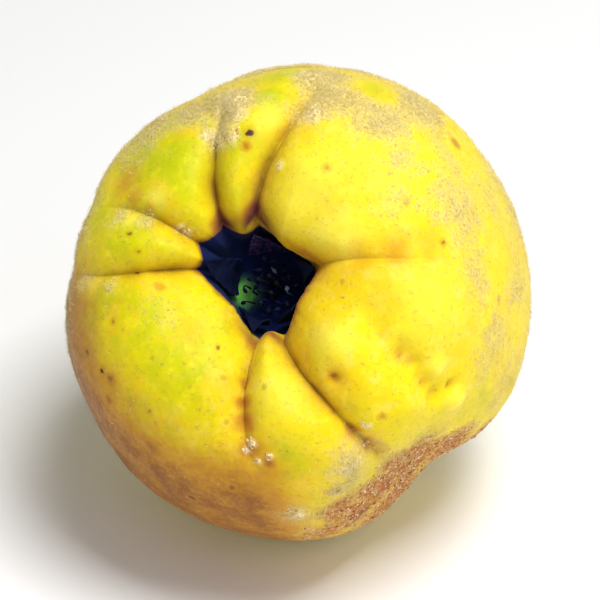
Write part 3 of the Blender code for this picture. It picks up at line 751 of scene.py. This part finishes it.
crust_colour = coat.drift(SCAB_TAN, (
    (coat.grain(where, 1.6, 3.0), 0.35, 0.65, 1.0, SCAB_RUST),
    (middling, 0.46, 0.66, 0.55, HALO_OCHRE),
    (finest, 0.52, 0.36, 0.9, SCAB_DARK),
    (coat.grain(where, 0.6, 2.0), 0.58, 0.68, 0.9, SCAB_PALE),
))
crust_colour = coat.mix(coat.reckon("MULTIPLY", coat.layer("plum_and_shade"), 0.8), crust_colour, PLUM)
colour = coat.mix(crust, colour, crust_colour)
# Painted shade: inside the tube the skin is painted near-black blue, its dark lining together with the
# shade of the deep calyx.
inside = coat.step(coat.layer("tube"), 0.42, 0.72)
colour = coat.mix(coat.step(coat.layer("tube"), 0.0, 0.5, 0.0, 0.75), colour, RIM_BROWN)
lining_and_shade = coat.mix(coat.step(coat.layer("tube_green_spot"), 0.02, 0.95), TUBE_SHADE_BLUE, TUBE_SPOT_GREEN)
colour = coat.mix(inside, colour, lining_and_shade)
coat.feed(shader.inputs["Base Color"], colour)

# Felt and crust are duller and rougher than the waxy skin.
rugged = coat.reckon("MAXIMUM", felt, crust)
dull = coat.reckon("MULTIPLY_ADD", rugged, 0.4, coat.step(fine, 0.3, 0.7, 0.42, 0.56))
coat.feed(shader.inputs["Roughness"], coat.reckon("MAXIMUM", dull, coat.reckon("MULTIPLY", inside, 0.8)))
rise = coat.reckon("MULTIPLY_ADD", coat.reckon("MULTIPLY", finest, rugged), 0.8, fine)
bump = coat.add("ShaderNodeBump", {"Strength": 0.35, "Distance": SKIN_GRAIN_DEPTH * MM, "Height": rise})
coat.feed(shader.inputs["Normal"], bump.outputs["Normal"])
shader.inputs["Sheen Weight"].default_value = 0.03
shader.inputs["Sheen Roughness"].default_value = 0.6
shader.inputs["Specular IOR Level"].default_value = 0.14
fruit.data.materials.append(skin)
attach(fruit, "root")
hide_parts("fruit")


# ---- The down ----
# Fine curled hairs that cover a young quince all over. They rub off as it ripens, and stay as felt in
# the folds, on the shoulders and round the stalk. Each hair is rooted in the skin and tapers to a tip.

HAIRS = 52000
HAIR_LENGTH = (0.5, 1.3)
HAIR_THICKNESS = 0.05
HAIR_ROOT_DEPTH = 0.04
HAIR_SLANT = 0.8
HAIR_TONES = 24
HAIR_SPREAD = 0.25
SWIRL_SIZE = 7.0
SWIRL_TURN = 5.0
BARE_SKIN_SHARE = 0.0012
BARE_SKIN_ALONG = (26.0, 40.0)
FLOOR_CLEARANCE = 1.2
DOWN_PIECES = {"down_of_the_calyx_end": (0.0, 59.0), "down_of_the_belly": (59.0, 96.0),
               "down_of_the_stalk_end": (96.0, 200.0)}

# A new ball's faces come in another order each time, so they are numbered by their corners here. The
# hairs and crumbs then grow in the same places each time.
side_corners = [side.vertices[:] for side in fruit.data.polygons]
side_order = sorted(range(len(side_corners)), key=side_corners.__getitem__)
first_corner = np.array([side_corners[side][0] for side in side_order])
side_along = along[first_corner]


def read_sides(name, width):
    """A measure of each face of the skin."""
    values = np.empty(len(side_order) * width)
    fruit.data.polygons.foreach_get(name, values)
    return values.reshape(-1, width)[side_order]


places = read_sides("center", 3)
facing = read_sides("normal", 3)
areas = read_sides("area", 1)[:, 0]
hairy = np.clip(down + 0.5 * tuft, 0.0, 1.0)[first_corner]
strength = (hairy ** 2 + BARE_SKIN_SHARE * smooth(*BARE_SKIN_ALONG, side_along)) * areas
strength *= places[:, 2] > FLOOR_CLEARANCE * MM
hair_draw = np.random.default_rng(5)
rooted = hair_draw.choice(len(areas), HAIRS, p=strength / strength.sum())


def fill_piece(piece, points, corners, sizes, flat):
    """Gives the piece in hand a mesh of many small closed bodies, with a flat map for their colours."""
    primitive = piece.data
    piece.data = bpy.data.meshes.new(piece.name)
    mesh = piece.data
    bpy.data.meshes.remove(primitive)
    mesh.vertices.add(len(points))
    mesh.vertices.foreach_set("co", np.float32(points).ravel())
    mesh.loops.add(len(corners))
    mesh.loops.foreach_set("vertex_index", corners)
    mesh.polygons.add(len(sizes))
    mesh.polygons.foreach_set("loop_start", np.concatenate([[0], np.cumsum(sizes)[:-1]]))
    mesh.update(calc_edges=True)
    chart = mesh.uv_layers.new(name="OFBake")
    chart.data.foreach_set("uv", np.float32(flat[corners]).ravel())
    face_outwards()
    bpy.ops.object.shade_smooth()


def grow_hairs(name, chosen):
    """One piece of down: a curled, tapering three-sided hair on each chosen face of the skin."""
    count = len(chosen)
    up = facing[chosen]
    root = places[chosen] + hair_draw.normal(0.0, HAIR_SPREAD * MM, (count, 3))
    root -= up * (np.einsum("ij,ij->i", root - places[chosen], up) + HAIR_ROOT_DEPTH * MM)[:, None]
    swirl = np.array([noise.noise(Vector(place) / (SWIRL_SIZE * MM)) for place in root])
    turn = swirl * SWIRL_TURN + hair_draw.normal(0.0, 1.0, count)
    east = np.cross(up, (0.31, 0.17, 0.93))
    east /= np.linalg.norm(east, axis=1)[:, None]
    north = np.cross(up, east)

    def heading(angle):
        return east * np.cos(angle)[:, None] + north * np.sin(angle)[:, None]

    reach = hair_draw.uniform(*HAIR_LENGTH, count)[:, None] * MM / 2.0
    lift = hair_draw.uniform(0.3, 0.9, count)[:, None]
    curl = hair_draw.normal(0.0, 1.0, count)
    bend = root + (up * lift + heading(turn) * HAIR_SLANT) * reach
    tip = bend + (up * hair_draw.uniform(-0.25, 0.5, count)[:, None] + heading(turn + curl)) * reach
    thick = HAIR_THICKNESS * MM * hair_draw.uniform(0.7, 1.3, count)[:, None]
    rows = []
    for middle, share in ((root, 0.6), (bend, 0.45)):
        for corner in range(3):
            angle = turn + corner * math.tau / 3.0
            out = heading(turn + np.pi / 2.0) * np.cos(angle - turn)[:, None]
            rows.append(middle + (out + up * np.sin(angle - turn)[:, None]) * thick * share)
    rows.append(tip)
    hair_points = np.stack(rows, axis=1).reshape(-1, 3)
    faces = [(2, 1, 0)]
    for corner in range(3):
        following = (corner + 1) % 3
        faces += [(corner, following, following + 3, corner + 3), (corner + 3, following + 3, 6)]
    steps = np.arange(count) * 7
    corners = [step + index for step in steps for face in faces for index in face]
    sizes = np.tile([len(face) for face in faces], count)

    # Across the map runs the tone of the hair, and up it the way from root to tip.
    tone = np.floor(hair_draw.uniform(0.0, HAIR_TONES, count))
    heights = (0.05, 0.05, 0.05, 0.5, 0.5, 0.5, 0.95)
    shifts = (0.15, 0.5, 0.85, 0.15, 0.5, 0.85, 0.5)
    across = (tone[:, None] + np.array(shifts)) / HAIR_TONES
    flat = np.stack([across, np.broadcast_to(heights, across.shape)], axis=-1).reshape(-1, 2)
    bpy.ops.mesh.primitive_cone_add(vertices=3, radius1=MM, depth=MM)
    hairs = bpy.context.object
    hairs.name = name
    fill_piece(hairs, hair_points, corners, sizes, flat)
    return hairs


HAIR_PALE = paint(251, 240, 188)
HAIR_BUFF = paint(234, 212, 130)
HAIR_BROWN = paint(184, 146, 88)
hair, coat, shader = new_finish("down_hair")
chart = coat.add("ShaderNodeUVMap", uv_map="OFBake").outputs["UV"]
across = coat.add("ShaderNodeSeparateXYZ", {0: chart})
toned = coat.drift(HAIR_PALE, ((across.outputs["X"], 0.25, 0.75, 1.0, HAIR_BUFF),
                               (across.outputs["X"], 0.9, 0.98, 0.7, HAIR_BROWN)))
near_root = coat.step(across.outputs["Y"], 0.0, 0.6, 0.6, 0.0)
coat.feed(shader.inputs["Base Color"], coat.mix(near_root, toned, HAIR_BUFF))
coat.feed(shader.inputs["Roughness"], coat.step(across.outputs["Y"], 0.0, 1.0, 0.95, 0.75))
shader.inputs["Specular IOR Level"].default_value = 0.25
for name, (nearest, farthest) in DOWN_PIECES.items():
    inside = (side_along[rooted] >= nearest) & (side_along[rooted] < farthest)
    hairs = grow_hairs(name, rooted[inside])
    hairs.data.materials.append(hair)
    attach(hairs, "root")


# ---- The crumbs ----
# Grains of dead skin and of matted down. They grew loose on the scab, in the felt and at the ends of
# the creases, and stick there half sunk in the skin, lighter or darker than what they lie on.

Crumbs = namedtuple("Crumbs", "count smallest largest darkest")
CRUMB_PIECES = {"scab_crumbs": Crumbs(900, 0.10, 0.34, 21), "felt_crumbs": Crumbs(800, 0.05, 0.17, 12),
                "crease_crumbs": Crumbs(90, 0.16, 0.40, 9)}
CREASE_END_PATCHES = (
    Patch(281.4, 41.0, 1.0, 1.0), Patch(279.4, 42.3, 0.8, 0.9), Patch(283, 44.2, 0.7, 0.8),
    Patch(287.4, 43.4, 0.7, 0.8), Patch(319.5, 45.7, 0.7, 0.6), Patch(316, 51, 0.9, 0.7),
    Patch(159.5, 26.4, 1.0, 0.6), Patch(160, 23.6, 0.6, 0.5), Patch(289, 58.6, 1.2, 0.6),
    Patch(301.9, 56.5, 0.8, 0.8), Patch(118, 37, 1.4, 0.6), Patch(110, 37, 1.0, 0.6),
)
CRUMB_FLATNESS = 0.5
CRUMB_CLEARANCE = 0.8
crumb_draw = np.random.default_rng(8)


def scatter_crumbs(name, crumbs, wanted):
    """One piece of crumbs, lying where they are wanted on the skin."""
    bpy.ops.mesh.primitive_ico_sphere_add(subdivisions=1, radius=1.0)
    piece = bpy.context.object
    piece.name = name
    grain_points = np.array([vertex.co for vertex in piece.data.vertices])
    grain_faces = np.array([side.vertices[:] for side in piece.data.polygons])
    share = wanted * areas
    chosen = crumb_draw.choice(len(areas), crumbs.count, p=share / share.sum())
    up = facing[chosen]
    east = np.cross(up, crumb_draw.normal(0.0, 1.0, (crumbs.count, 3)))
    east /= np.linalg.norm(east, axis=1)[:, None]
    north = np.cross(up, east)
    stretch = crumb_draw.uniform(0.7, 1.3, (crumbs.count, 3)) * (1.0, 1.0, CRUMB_FLATNESS)
    stretch *= crumb_draw.uniform(crumbs.smallest, crumbs.largest, crumbs.count)[:, None] * MM
    lumpy = grain_points[None] * crumb_draw.uniform(0.8, 1.2, (crumbs.count, len(grain_points), 1))
    lumpy = lumpy * stretch[:, None, :]
    frame_of_grain = np.stack([east, north, up], axis=1)
    crumb_points = places[chosen][:, None, :] + np.einsum("nvi,nij->nvj", lumpy, frame_of_grain)
    corners = (np.arange(crumbs.count)[:, None, None] * len(grain_points) + grain_faces).reshape(-1)
    tone = np.floor(crumb_draw.uniform(0.0, crumbs.darkest, crumbs.count))[:, None]
    across = (tone + 0.5 + 0.35 * grain_points[None, :, 0]) / HAIR_TONES
    flat = np.stack([across, np.broadcast_to(0.5 + 0.45 * grain_points[:, 1], across.shape)], axis=-1)
    sizes = np.full(len(corners) // 3, 3)
    fill_piece(piece, crumb_points.reshape(-1, 3), corners, sizes, flat.reshape(-1, 2))
    return piece


CRUMB_CREAM = paint(238, 218, 176)
CRUMB_TAN = paint(196, 146, 84)
CRUMB_RUST = paint(160, 86, 42)
CRUMB_DARK = paint(92, 40, 36)
crumb, coat, shader = new_finish("dry_crumb")
chart = coat.add("ShaderNodeUVMap", uv_map="OFBake").outputs["UV"]
across = coat.add("ShaderNodeSeparateXYZ", {0: chart})
toned = coat.drift(CRUMB_CREAM, ((across.outputs["X"], 0.15, 0.35, 1.0, CRUMB_TAN),
                                 (across.outputs["X"], 0.5, 0.65, 1.0, CRUMB_RUST),
                                 (across.outputs["X"], 0.8, 0.9, 1.0, CRUMB_DARK)))
coat.feed(shader.inputs["Base Color"], toned)
coat.feed(shader.inputs["Roughness"], coat.step(across.outputs["Y"], 0.0, 1.0, 0.8, 0.95))
shader.inputs["Specular IOR Level"].default_value = 0.2
above_floor = places[:, 2] > CRUMB_CLEARANCE * MM
outside_tube = tube < 0.05
clumped = patched(CREASE_END_PATCHES) ** 2
for (name, crumbs), wanted in zip(CRUMB_PIECES.items(), (scab, tuft ** 2 * outside_tube, clumped)):
    crumb_piece = scatter_crumbs(name, crumbs, wanted[first_corner] * above_floor)
    crumb_piece.data.materials.append(crumb)
    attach(crumb_piece, "root")


# ---- The dried sepals ----
# Five leafy sepals of the flower, dried to black crumpled lances, their dark blue partly painted shade;
# one of them carries a painted lilac highlight. Each grows from the wall of the calyx tube, leans back
# near it and curls out into a fold of the rim.

Sepal = namedtuple("Sepal", "foot tip reach")
SEPALS = (Sepal(34, 26, 18.0), Sepal(106, 116, 15.5), Sepal(178, 172, 21.5),
          Sepal(250, 270, 16.5), Sepal(322, 327, 16.0))
SEPAL_FOOT_ALONG = 9.5
SEPAL_STAND_OFF = (1.5, 0.9)
SEPAL_WIDTH = 6.6
SEPAL_THICKNESS = 0.35
SEPAL_CUPPING = 0.28
SEPAL_CRUMPLE = 0.45
SEPAL_VEIN_HEIGHT = 0.22
SEPAL_VEIN_WIDTH = 0.16
SEPAL_TEETH = 7
SEPAL_TOOTH_DEPTH = 0.10
SEPAL_COLUMNS, SEPAL_ROWS = 17, 33
SEPAL_MERGE = 0.02
# Dark blue tones of the dried sepals, partly painted shade.
LEAF_AND_SHADE_TONES = ((1, 10, 40), (4, 18, 48), (60, 48, 84))
# The sepal with a painted lilac highlight, and its tones.
GLINTING_SEPAL = 2
GLINT_TONES = ((4, 11, 44), (72, 50, 112), (214, 176, 216))

# Dry plant matter: fibres along the piece, with pale broken hairs caught on them.
fibre_group, fibre, given, result = new_group(
    "dry_fibres", {"Where": "NodeSocketVector", "Size": "NodeSocketFloat", "Dark": "NodeSocketColor",
                   "Brown": "NodeSocketColor", "Pale": "NodeSocketColor"},
    {"Colour": "NodeSocketColor", "Roughness": "NodeSocketFloat", "Height": "NodeSocketFloat"})
sized = fibre.add("ShaderNodeVectorMath", {0: given["Where"], "Scale": given["Size"]}, operation="SCALE")
cloudy = fibre.add("ShaderNodeTexNoise", {"Vector": sized.outputs[0], "Scale": 1.0, "Detail": 5.0,
                                          "Roughness": 0.7, "Distortion": 1.2}).outputs["Fac"]
stringy = fibre.add("ShaderNodeTexNoise", {"Vector": sized.outputs[0], "Scale": 5.0, "Detail": 3.0,
                                           "Distortion": 2.5}).outputs["Fac"]
toned = fibre.mix(fibre.step(cloudy, 0.42, 0.68), given["Dark"], given["Brown"])
toned = fibre.mix(fibre.step(stringy, 0.62, 0.74, 0.0, 0.7), toned, given["Pale"])
fibre.feed(result["Colour"], toned)
fibre.feed(result["Roughness"], fibre.step(cloudy, 0.3, 0.7, 0.6, 0.95))
fibre.feed(result["Height"], fibre.reckon("MULTIPLY_ADD", stringy, 0.5, cloudy))


def dry_finish(name, size, depth, tones):
    """A material of dry plant matter, with fibres of the given size and depth in millimetres. Its
    tones are dark, brown and pale."""
    material, coat, shader = new_finish(name)
    node = coat.add("ShaderNodeGroup", node_tree=fibre_group)
    coat.feed(node.inputs["Where"], coat.add("ShaderNodeTexCoord").outputs["Object"])
    coat.feed(node.inputs["Size"], 1.0 / (size * MM))
    for socket, tone in zip(("Dark", "Brown", "Pale"), tones):
        coat.feed(node.inputs[socket], paint(*tone))
    coat.feed(shader.inputs["Base Color"], node.outputs["Colour"])
    coat.feed(shader.inputs["Roughness"], node.outputs["Roughness"])
    bump = coat.add("ShaderNodeBump", {"Strength": 0.6, "Distance": depth * MM,
                                       "Height": node.outputs["Height"]})
    coat.feed(shader.inputs["Normal"], bump.outputs["Normal"])
    shader.inputs["Specular IOR Level"].default_value = 0.12
    return material


def sepal_points(sepal, side, share):
    """Points of a sepal's blade: side runs from -1 to 1 across it, and share from foot to tip."""
    bearing = sepal.foot + (sepal.tip - sepal.foot) * share ** 1.5
    along = SEPAL_FOOT_ALONG + (sepal.reach - SEPAL_FOOT_ALONG) * share
    half = SEPAL_WIDTH / 2.0 * np.sin(np.pi * (0.25 + 0.75 * share)) ** 0.8
    half = half * (1.0 + SEPAL_TOOTH_DEPTH * np.sin(share * SEPAL_TEETH * math.tau) * np.abs(side) ** 3)
    spread = np.degrees(half / section_at(along)[0])
    wall = [np.linalg.norm(skin_points(along, bearing + edge * spread)[..., :2], axis=-1)
            for edge in (-1.0, -0.5, 0.0, 0.5, 1.0)]
    stand_off = SEPAL_STAND_OFF[0] + (SEPAL_STAND_OFF[1] - SEPAL_STAND_OFF[0]) * share
    middle = skin_points(along, bearing)
    centre = round_axis(np.min(wall, axis=0) - stand_off, middle[..., 2], bearing)
    across = round_axis(1.0, 0.0, bearing + 90.0)
    inward = round_axis(-1.0, 0.0, bearing)
    vein = SEPAL_VEIN_HEIGHT * np.exp(-(side / SEPAL_VEIN_WIDTH) ** 2) * (1.0 - share)
    creased = rough(np.stack([side * 1.4 + sepal.foot, share * 3.0, side * 0.0], axis=-1), 1.0)
    crumple = SEPAL_CRUMPLE * creased * smooth(0.0, 0.3, share) * np.abs(side)
    hollow = side ** 2 * half * SEPAL_CUPPING + crumple + vein
    return centre + across * (side * half)[..., None] + inward * hollow[..., None]


dried_leaf = dry_finish("dried_leaf", 1.6, 0.12, LEAF_AND_SHADE_TONES)
glint_leaf = dry_finish("glint_leaf", 1.1, 0.12, GLINT_TONES)
for number, sepal in enumerate(SEPALS, 1):
    bpy.ops.mesh.primitive_grid_add(x_subdivisions=SEPAL_COLUMNS - 1, y_subdivisions=SEPAL_ROWS - 1,
                                    size=2.0)
    blade = bpy.context.object
    blade.name = blade.data.name = f"dried_sepal_{number}"
    flat = np.array([vertex.co for vertex in blade.data.vertices])
    blade_points = sepal_points(sepal, flat[:, 0], (flat[:, 1] + 1.0) / 2.0)
    place_points(blade, in_place(blade_points), SEPAL_MERGE * MM)
    thickness = blade.modifiers.new("thickness", "SOLIDIFY")
    thickness.thickness = SEPAL_THICKNESS * MM
    thickness.offset = 0.0
    bpy.ops.object.modifier_apply(modifier=thickness.name)
    soften = blade.modifiers.new("soften", "SUBSURF")
    soften.levels = soften.render_levels = 1
    bpy.ops.object.modifier_apply(modifier=soften.name)
    bpy.ops.object.shade_smooth()
    blade.data.materials.append(glint_leaf if number == GLINTING_SEPAL else dried_leaf)
    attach(blade, "root")
    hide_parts(f"sepal_{number}")


# ---- The dried stamens ----
# Twenty threads of the flower that grow in two rings on the floor of the tube. They are dried, bent in
# over each other, and each ends in a shrunken two-lobed anther. Their dark blue is partly painted shade,
# and two are painted pale as highlights.

STAMENS = 20
STAMEN_RINGS = ((4.7, 6.6, 8.4), (3.5, 4.6, 6.2))
STAMEN_FOOT_HEIGHT = 18.3
STAMEN_FIRST_BEARING = 9.0
STAMEN_LEAN = (-0.9, 0.2)
STAMEN_DRIFT = 7.0
STAMEN_THICKNESS = 0.42
STAMEN_WAVE = 0.25
STAMEN_HOOK = 7.5
STAMEN_HOOK_START = 0.55
STAMEN_HOOK_TURN = 2.4
ANTHER_LOBES = 2
ANTHER_LOBE_HEIGHT = 0.18
# Dark blue tones of the dried stamens, partly painted shade.
THREAD_AND_SHADE_TONES = ((6, 14, 42), (24, 28, 50), (84, 90, 110))
# Two stamens painted pale as highlights, and their tones.
GLINTING_STAMENS = (5, 19)
GLINT_THREAD_TONES = ((70, 96, 116), (110, 130, 140), (190, 206, 206))
STAMEN_OUTLINE = ((0.0, 0.0), (0.04, 1.1), (0.3, 0.9), (0.55, 0.75), (0.78, 0.7), (0.86, 1.9),
                  (0.95, 1.7), (1.0, 0.0))
THREAD_SIDES = 10
STAMEN_RINGS_OF_MESH = 36


def draw_out(name, rings, columns, route, outline, thickness, lobes, lobe_height):
    """A round piece with lobes, drawn from a ball: the route gives its middle at a share of its
    length, and the outline its thickness there."""
    piece = new_ball(name, rings, columns)
    ring, column = read_ball(piece, rings, columns)
    shares = np.interp(np.arange(rings + 1) / rings, np.linspace(0.0, 1.0, len(outline)),
                       [share for share, _ in outline])
    thick = np.interp(shares, *zip(*outline)) * thickness / 2.0
    path = np.array([route(share) for share in shares])
    run = np.gradient(path, axis=0)
    run /= np.linalg.norm(run, axis=1)[:, None]
    side = np.cross(run, (0.0, 1.0, 0.2))
    side /= np.linalg.norm(side, axis=1)[:, None]
    other = np.cross(run, side)
    index = ring.astype(int)
    turn = column / columns * math.tau
    radius = (thick[index] * (1.0 + lobe_height * np.cos(lobes * turn)))[:, None]
    out = side[index] * np.cos(turn)[:, None] + other[index] * np.sin(turn)[:, None]
    place_points(piece, in_place(path[index] + out * radius))
    bpy.ops.object.shade_smooth()
    return piece


dried_thread = dry_finish("dried_thread", 0.9, 0.06, THREAD_AND_SHADE_TONES)
glint_thread = dry_finish("glint_thread", 0.9, 0.06, GLINT_THREAD_TONES)
chance = random.Random(11)
for number in range(STAMENS):
    foot, shortest, longest = STAMEN_RINGS[number % 2]
    start = STAMEN_FIRST_BEARING + 360.0 * number / STAMENS
    tall, lean = chance.uniform(shortest, longest), chance.uniform(*STAMEN_LEAN)
    drift = chance.uniform(-STAMEN_DRIFT, STAMEN_DRIFT)

    def stamen_route(share):
        wave = STAMEN_WAVE * math.sin(5.0 * share + number) * share
        hook = STAMEN_HOOK * max(0.0, share - STAMEN_HOOK_START) ** 2
        height = STAMEN_FOOT_HEIGHT + tall * (share - 0.3 * hook * share)
        point = round_axis(foot + lean * share ** 2 + wave, height, start + drift * share ** 2 + 4.0 * wave)
        turn = STAMEN_HOOK_TURN * number
        return point + hook * np.array((math.cos(turn), math.sin(turn), 0.0))

    stamen = draw_out(f"dried_stamen_{number + 1:02d}", STAMEN_RINGS_OF_MESH, THREAD_SIDES, stamen_route,
                      STAMEN_OUTLINE, STAMEN_THICKNESS, ANTHER_LOBES, ANTHER_LOBE_HEIGHT)
    stamen.data.materials.append(glint_thread if number in GLINTING_STAMENS else dried_thread)
    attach(stamen, "root")
    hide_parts(f"stamen_{number + 1:02d}")


# ---- The dried styles ----
# Five thicker threads that stand in the middle of the tube's floor, where they grew from the core.
# They are dried and ribbed, and each ends in a blunt stigma. Their dark blue is partly painted shade.

STYLES = 5
STYLE_FOOT_HEIGHT = 18.0
STYLE_RISE = 7.5
STYLE_FOOT_RADIUS = 1.2
STYLE_SPREAD = 0.7
STYLE_TWIST = 20.0
STYLE_THICKNESS = 0.8
STYLE_WAVE = 0.2
STYLE_RIBS = 3
STYLE_RIB_HEIGHT = 0.12
STYLE_AND_SHADE_TONES = ((10, 18, 32), (30, 32, 40), (96, 96, 100))
STYLE_OUTLINE = ((0.0, 0.0), (0.04, 1.25), (0.35, 1.0), (0.7, 0.8), (0.9, 1.1), (1.0, 0.0))

dried_style = dry_finish("dried_style", 1.2, 0.08, STYLE_AND_SHADE_TONES)
for number in range(STYLES):
    def style_route(share):
        wave = STYLE_WAVE * math.sin(4.0 * share + 2.0 * number) * share
        return round_axis(STYLE_FOOT_RADIUS + STYLE_SPREAD * share ** 1.5 + wave,
                          STYLE_FOOT_HEIGHT + STYLE_RISE * share,
                          360.0 * number / STYLES + STYLE_TWIST * share)

    style = draw_out(f"dried_style_{number + 1}", STAMEN_RINGS_OF_MESH, THREAD_SIDES, style_route,
                     STYLE_OUTLINE, STYLE_THICKNESS, STYLE_RIBS, STYLE_RIB_HEIGHT)
    style.data.materials.append(dried_style)
    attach(style, "root")
    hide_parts(f"style_{number + 1}")


# ---- The stalk ----
# A short woody stub on the floor of the stalk cavity, ridged along its length, swollen and rough at
# the end where it broke from the twig.

STALK_LENGTH = 10.5
STALK_BEND = (1.2, -0.8)
STALK_THICKNESS = 4.6
STALK_OUTLINE = ((0.0, 0.0), (0.07, 0.86), (0.2, 0.8), (0.45, 0.78), (0.7, 0.84), (0.9, 1.0),
                 (0.99, 0.92), (1.0, 0.0))
STALK_RINGS, STALK_SIDES = 72, 48
STALK_RIDGES = 9
STALK_RIDGE_HEIGHT = 0.05
STALK_GAP = 0.35
BARK_TONES = ((70, 48, 30), (124, 92, 58), (176, 150, 108))
stalk_top = SECTION[-1, 1] - STALK_GAP


def stalk_route(share):
    """The middle of the stalk at a share of its length."""
    sideways, aside = STALK_BEND
    return np.array((sideways * share ** 2, aside * share ** 2, stalk_top - STALK_LENGTH * share))


stalk = draw_out("woody_stalk", STALK_RINGS, STALK_SIDES, stalk_route, STALK_OUTLINE, STALK_THICKNESS,
                 STALK_RIDGES, STALK_RIDGE_HEIGHT)
bark = dry_finish("stalk_bark", 1.8, 0.2, BARK_TONES)
stalk.data.materials.append(bark)
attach(stalk, "root")
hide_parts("stalk")


# ---- The floor, the light and the camera ----
# A wide pale surface, a large soft light high on the right and a bright room. The surface glows a
# little away from the fruit, so that its far edge doesn't show. The camera looks down on the fruit
# from the side that the calyx faces.

FLOOR_WIDTH = 6.0
FLOOR_CLOUDS = 400.0
FLOOR_PALE = paint(244, 244, 244)
FLOOR_PALER = paint(248, 248, 247)
GLOW_FROM, GLOW_FULL = 0.16, 0.95
NO_GLOW = (0.0, 0.0, 0.0, 1.0)
FULL_GLOW = (0.73, 0.73, 0.73, 1.0)
bpy.ops.mesh.primitive_plane_add(size=FLOOR_WIDTH, location=(0.0, 0.0, 0.0))
floor = bpy.context.object
floor.name = "floor"
pale, coat, shader = new_finish("pale_floor")
where = coat.add("ShaderNodeTexCoord").outputs["Object"]
coat.feed(shader.inputs["Base Color"], coat.mix(coat.grain(where, FLOOR_CLOUDS), FLOOR_PALE, FLOOR_PALER))
far = coat.add("ShaderNodeVectorMath", {0: where}, operation="LENGTH").outputs["Value"]
coat.feed(shader.inputs["Emission Color"],
          coat.mix(coat.step(far, GLOW_FROM, GLOW_FULL), NO_GLOW, FULL_GLOW))
shader.inputs["Emission Strength"].default_value = 1.0
shader.inputs["Roughness"].default_value = 0.8
floor.data.materials.append(pale)

# Soft lights: place, width and power.
Lamp = namedtuple("Lamp", "place width power")
LAMPS = {
    "window_light": Lamp((0.20, -0.18, 0.82), 0.34, 6.9),
    "front_light": Lamp((0.52, -0.62, 0.50), 0.80, 2.2),
}
ROOM_LIGHT = 0.29
middle = (FRUIT_LOW + FRUIT_HIGH) / 2.0
for name, lamp in LAMPS.items():
    light = bpy.data.objects.new(name, bpy.data.lights.new(name, "AREA"))
    light.data.energy = lamp.power
    light.data.size = lamp.width
    light.location = lamp.place
    light.rotation_euler = (light.location - middle).to_track_quat("Z", "Y").to_euler()
    bpy.context.scene.collection.objects.link(light)

# The room is white to look at, and gives the fruit less light than it seems to.
world = bpy.data.worlds.new("bright_room")
bpy.context.scene.world = world
world.use_nodes = True
room = Finish(world.node_tree)
seen = room.add("ShaderNodeLightPath").outputs["Is Camera Ray"]
backdrop = world.node_tree.nodes["Background"]
backdrop.inputs["Color"].default_value = (1.0, 1.0, 1.0, 1.0)
room.feed(backdrop.inputs["Strength"], room.step(seen, 0.0, 1.0, ROOM_LIGHT, 1.0))

CAMERA_ELEVATION = math.radians(35.0)
CAMERA_DISTANCE = 0.6
FRAME_SHARE = 0.77
back = Vector((0.0, -math.cos(CAMERA_ELEVATION), math.sin(CAMERA_ELEVATION)))
camera = bpy.data.objects.new("camera", bpy.data.cameras.new("camera"))
camera.location = middle + back * CAMERA_DISTANCE
camera.rotation_euler = back.to_track_quat("Z", "Y").to_euler()
width_share = (FRUIT_HIGH.x - FRUIT_LOW.x) / CAMERA_DISTANCE
camera.data.sensor_width = 36.0
camera.data.lens = camera.data.sensor_width * FRAME_SHARE / width_share
bpy.context.scene.collection.objects.link(camera)
bpy.context.scene.camera = camera
bpy.context.scene.view_settings.view_transform = "Standard"
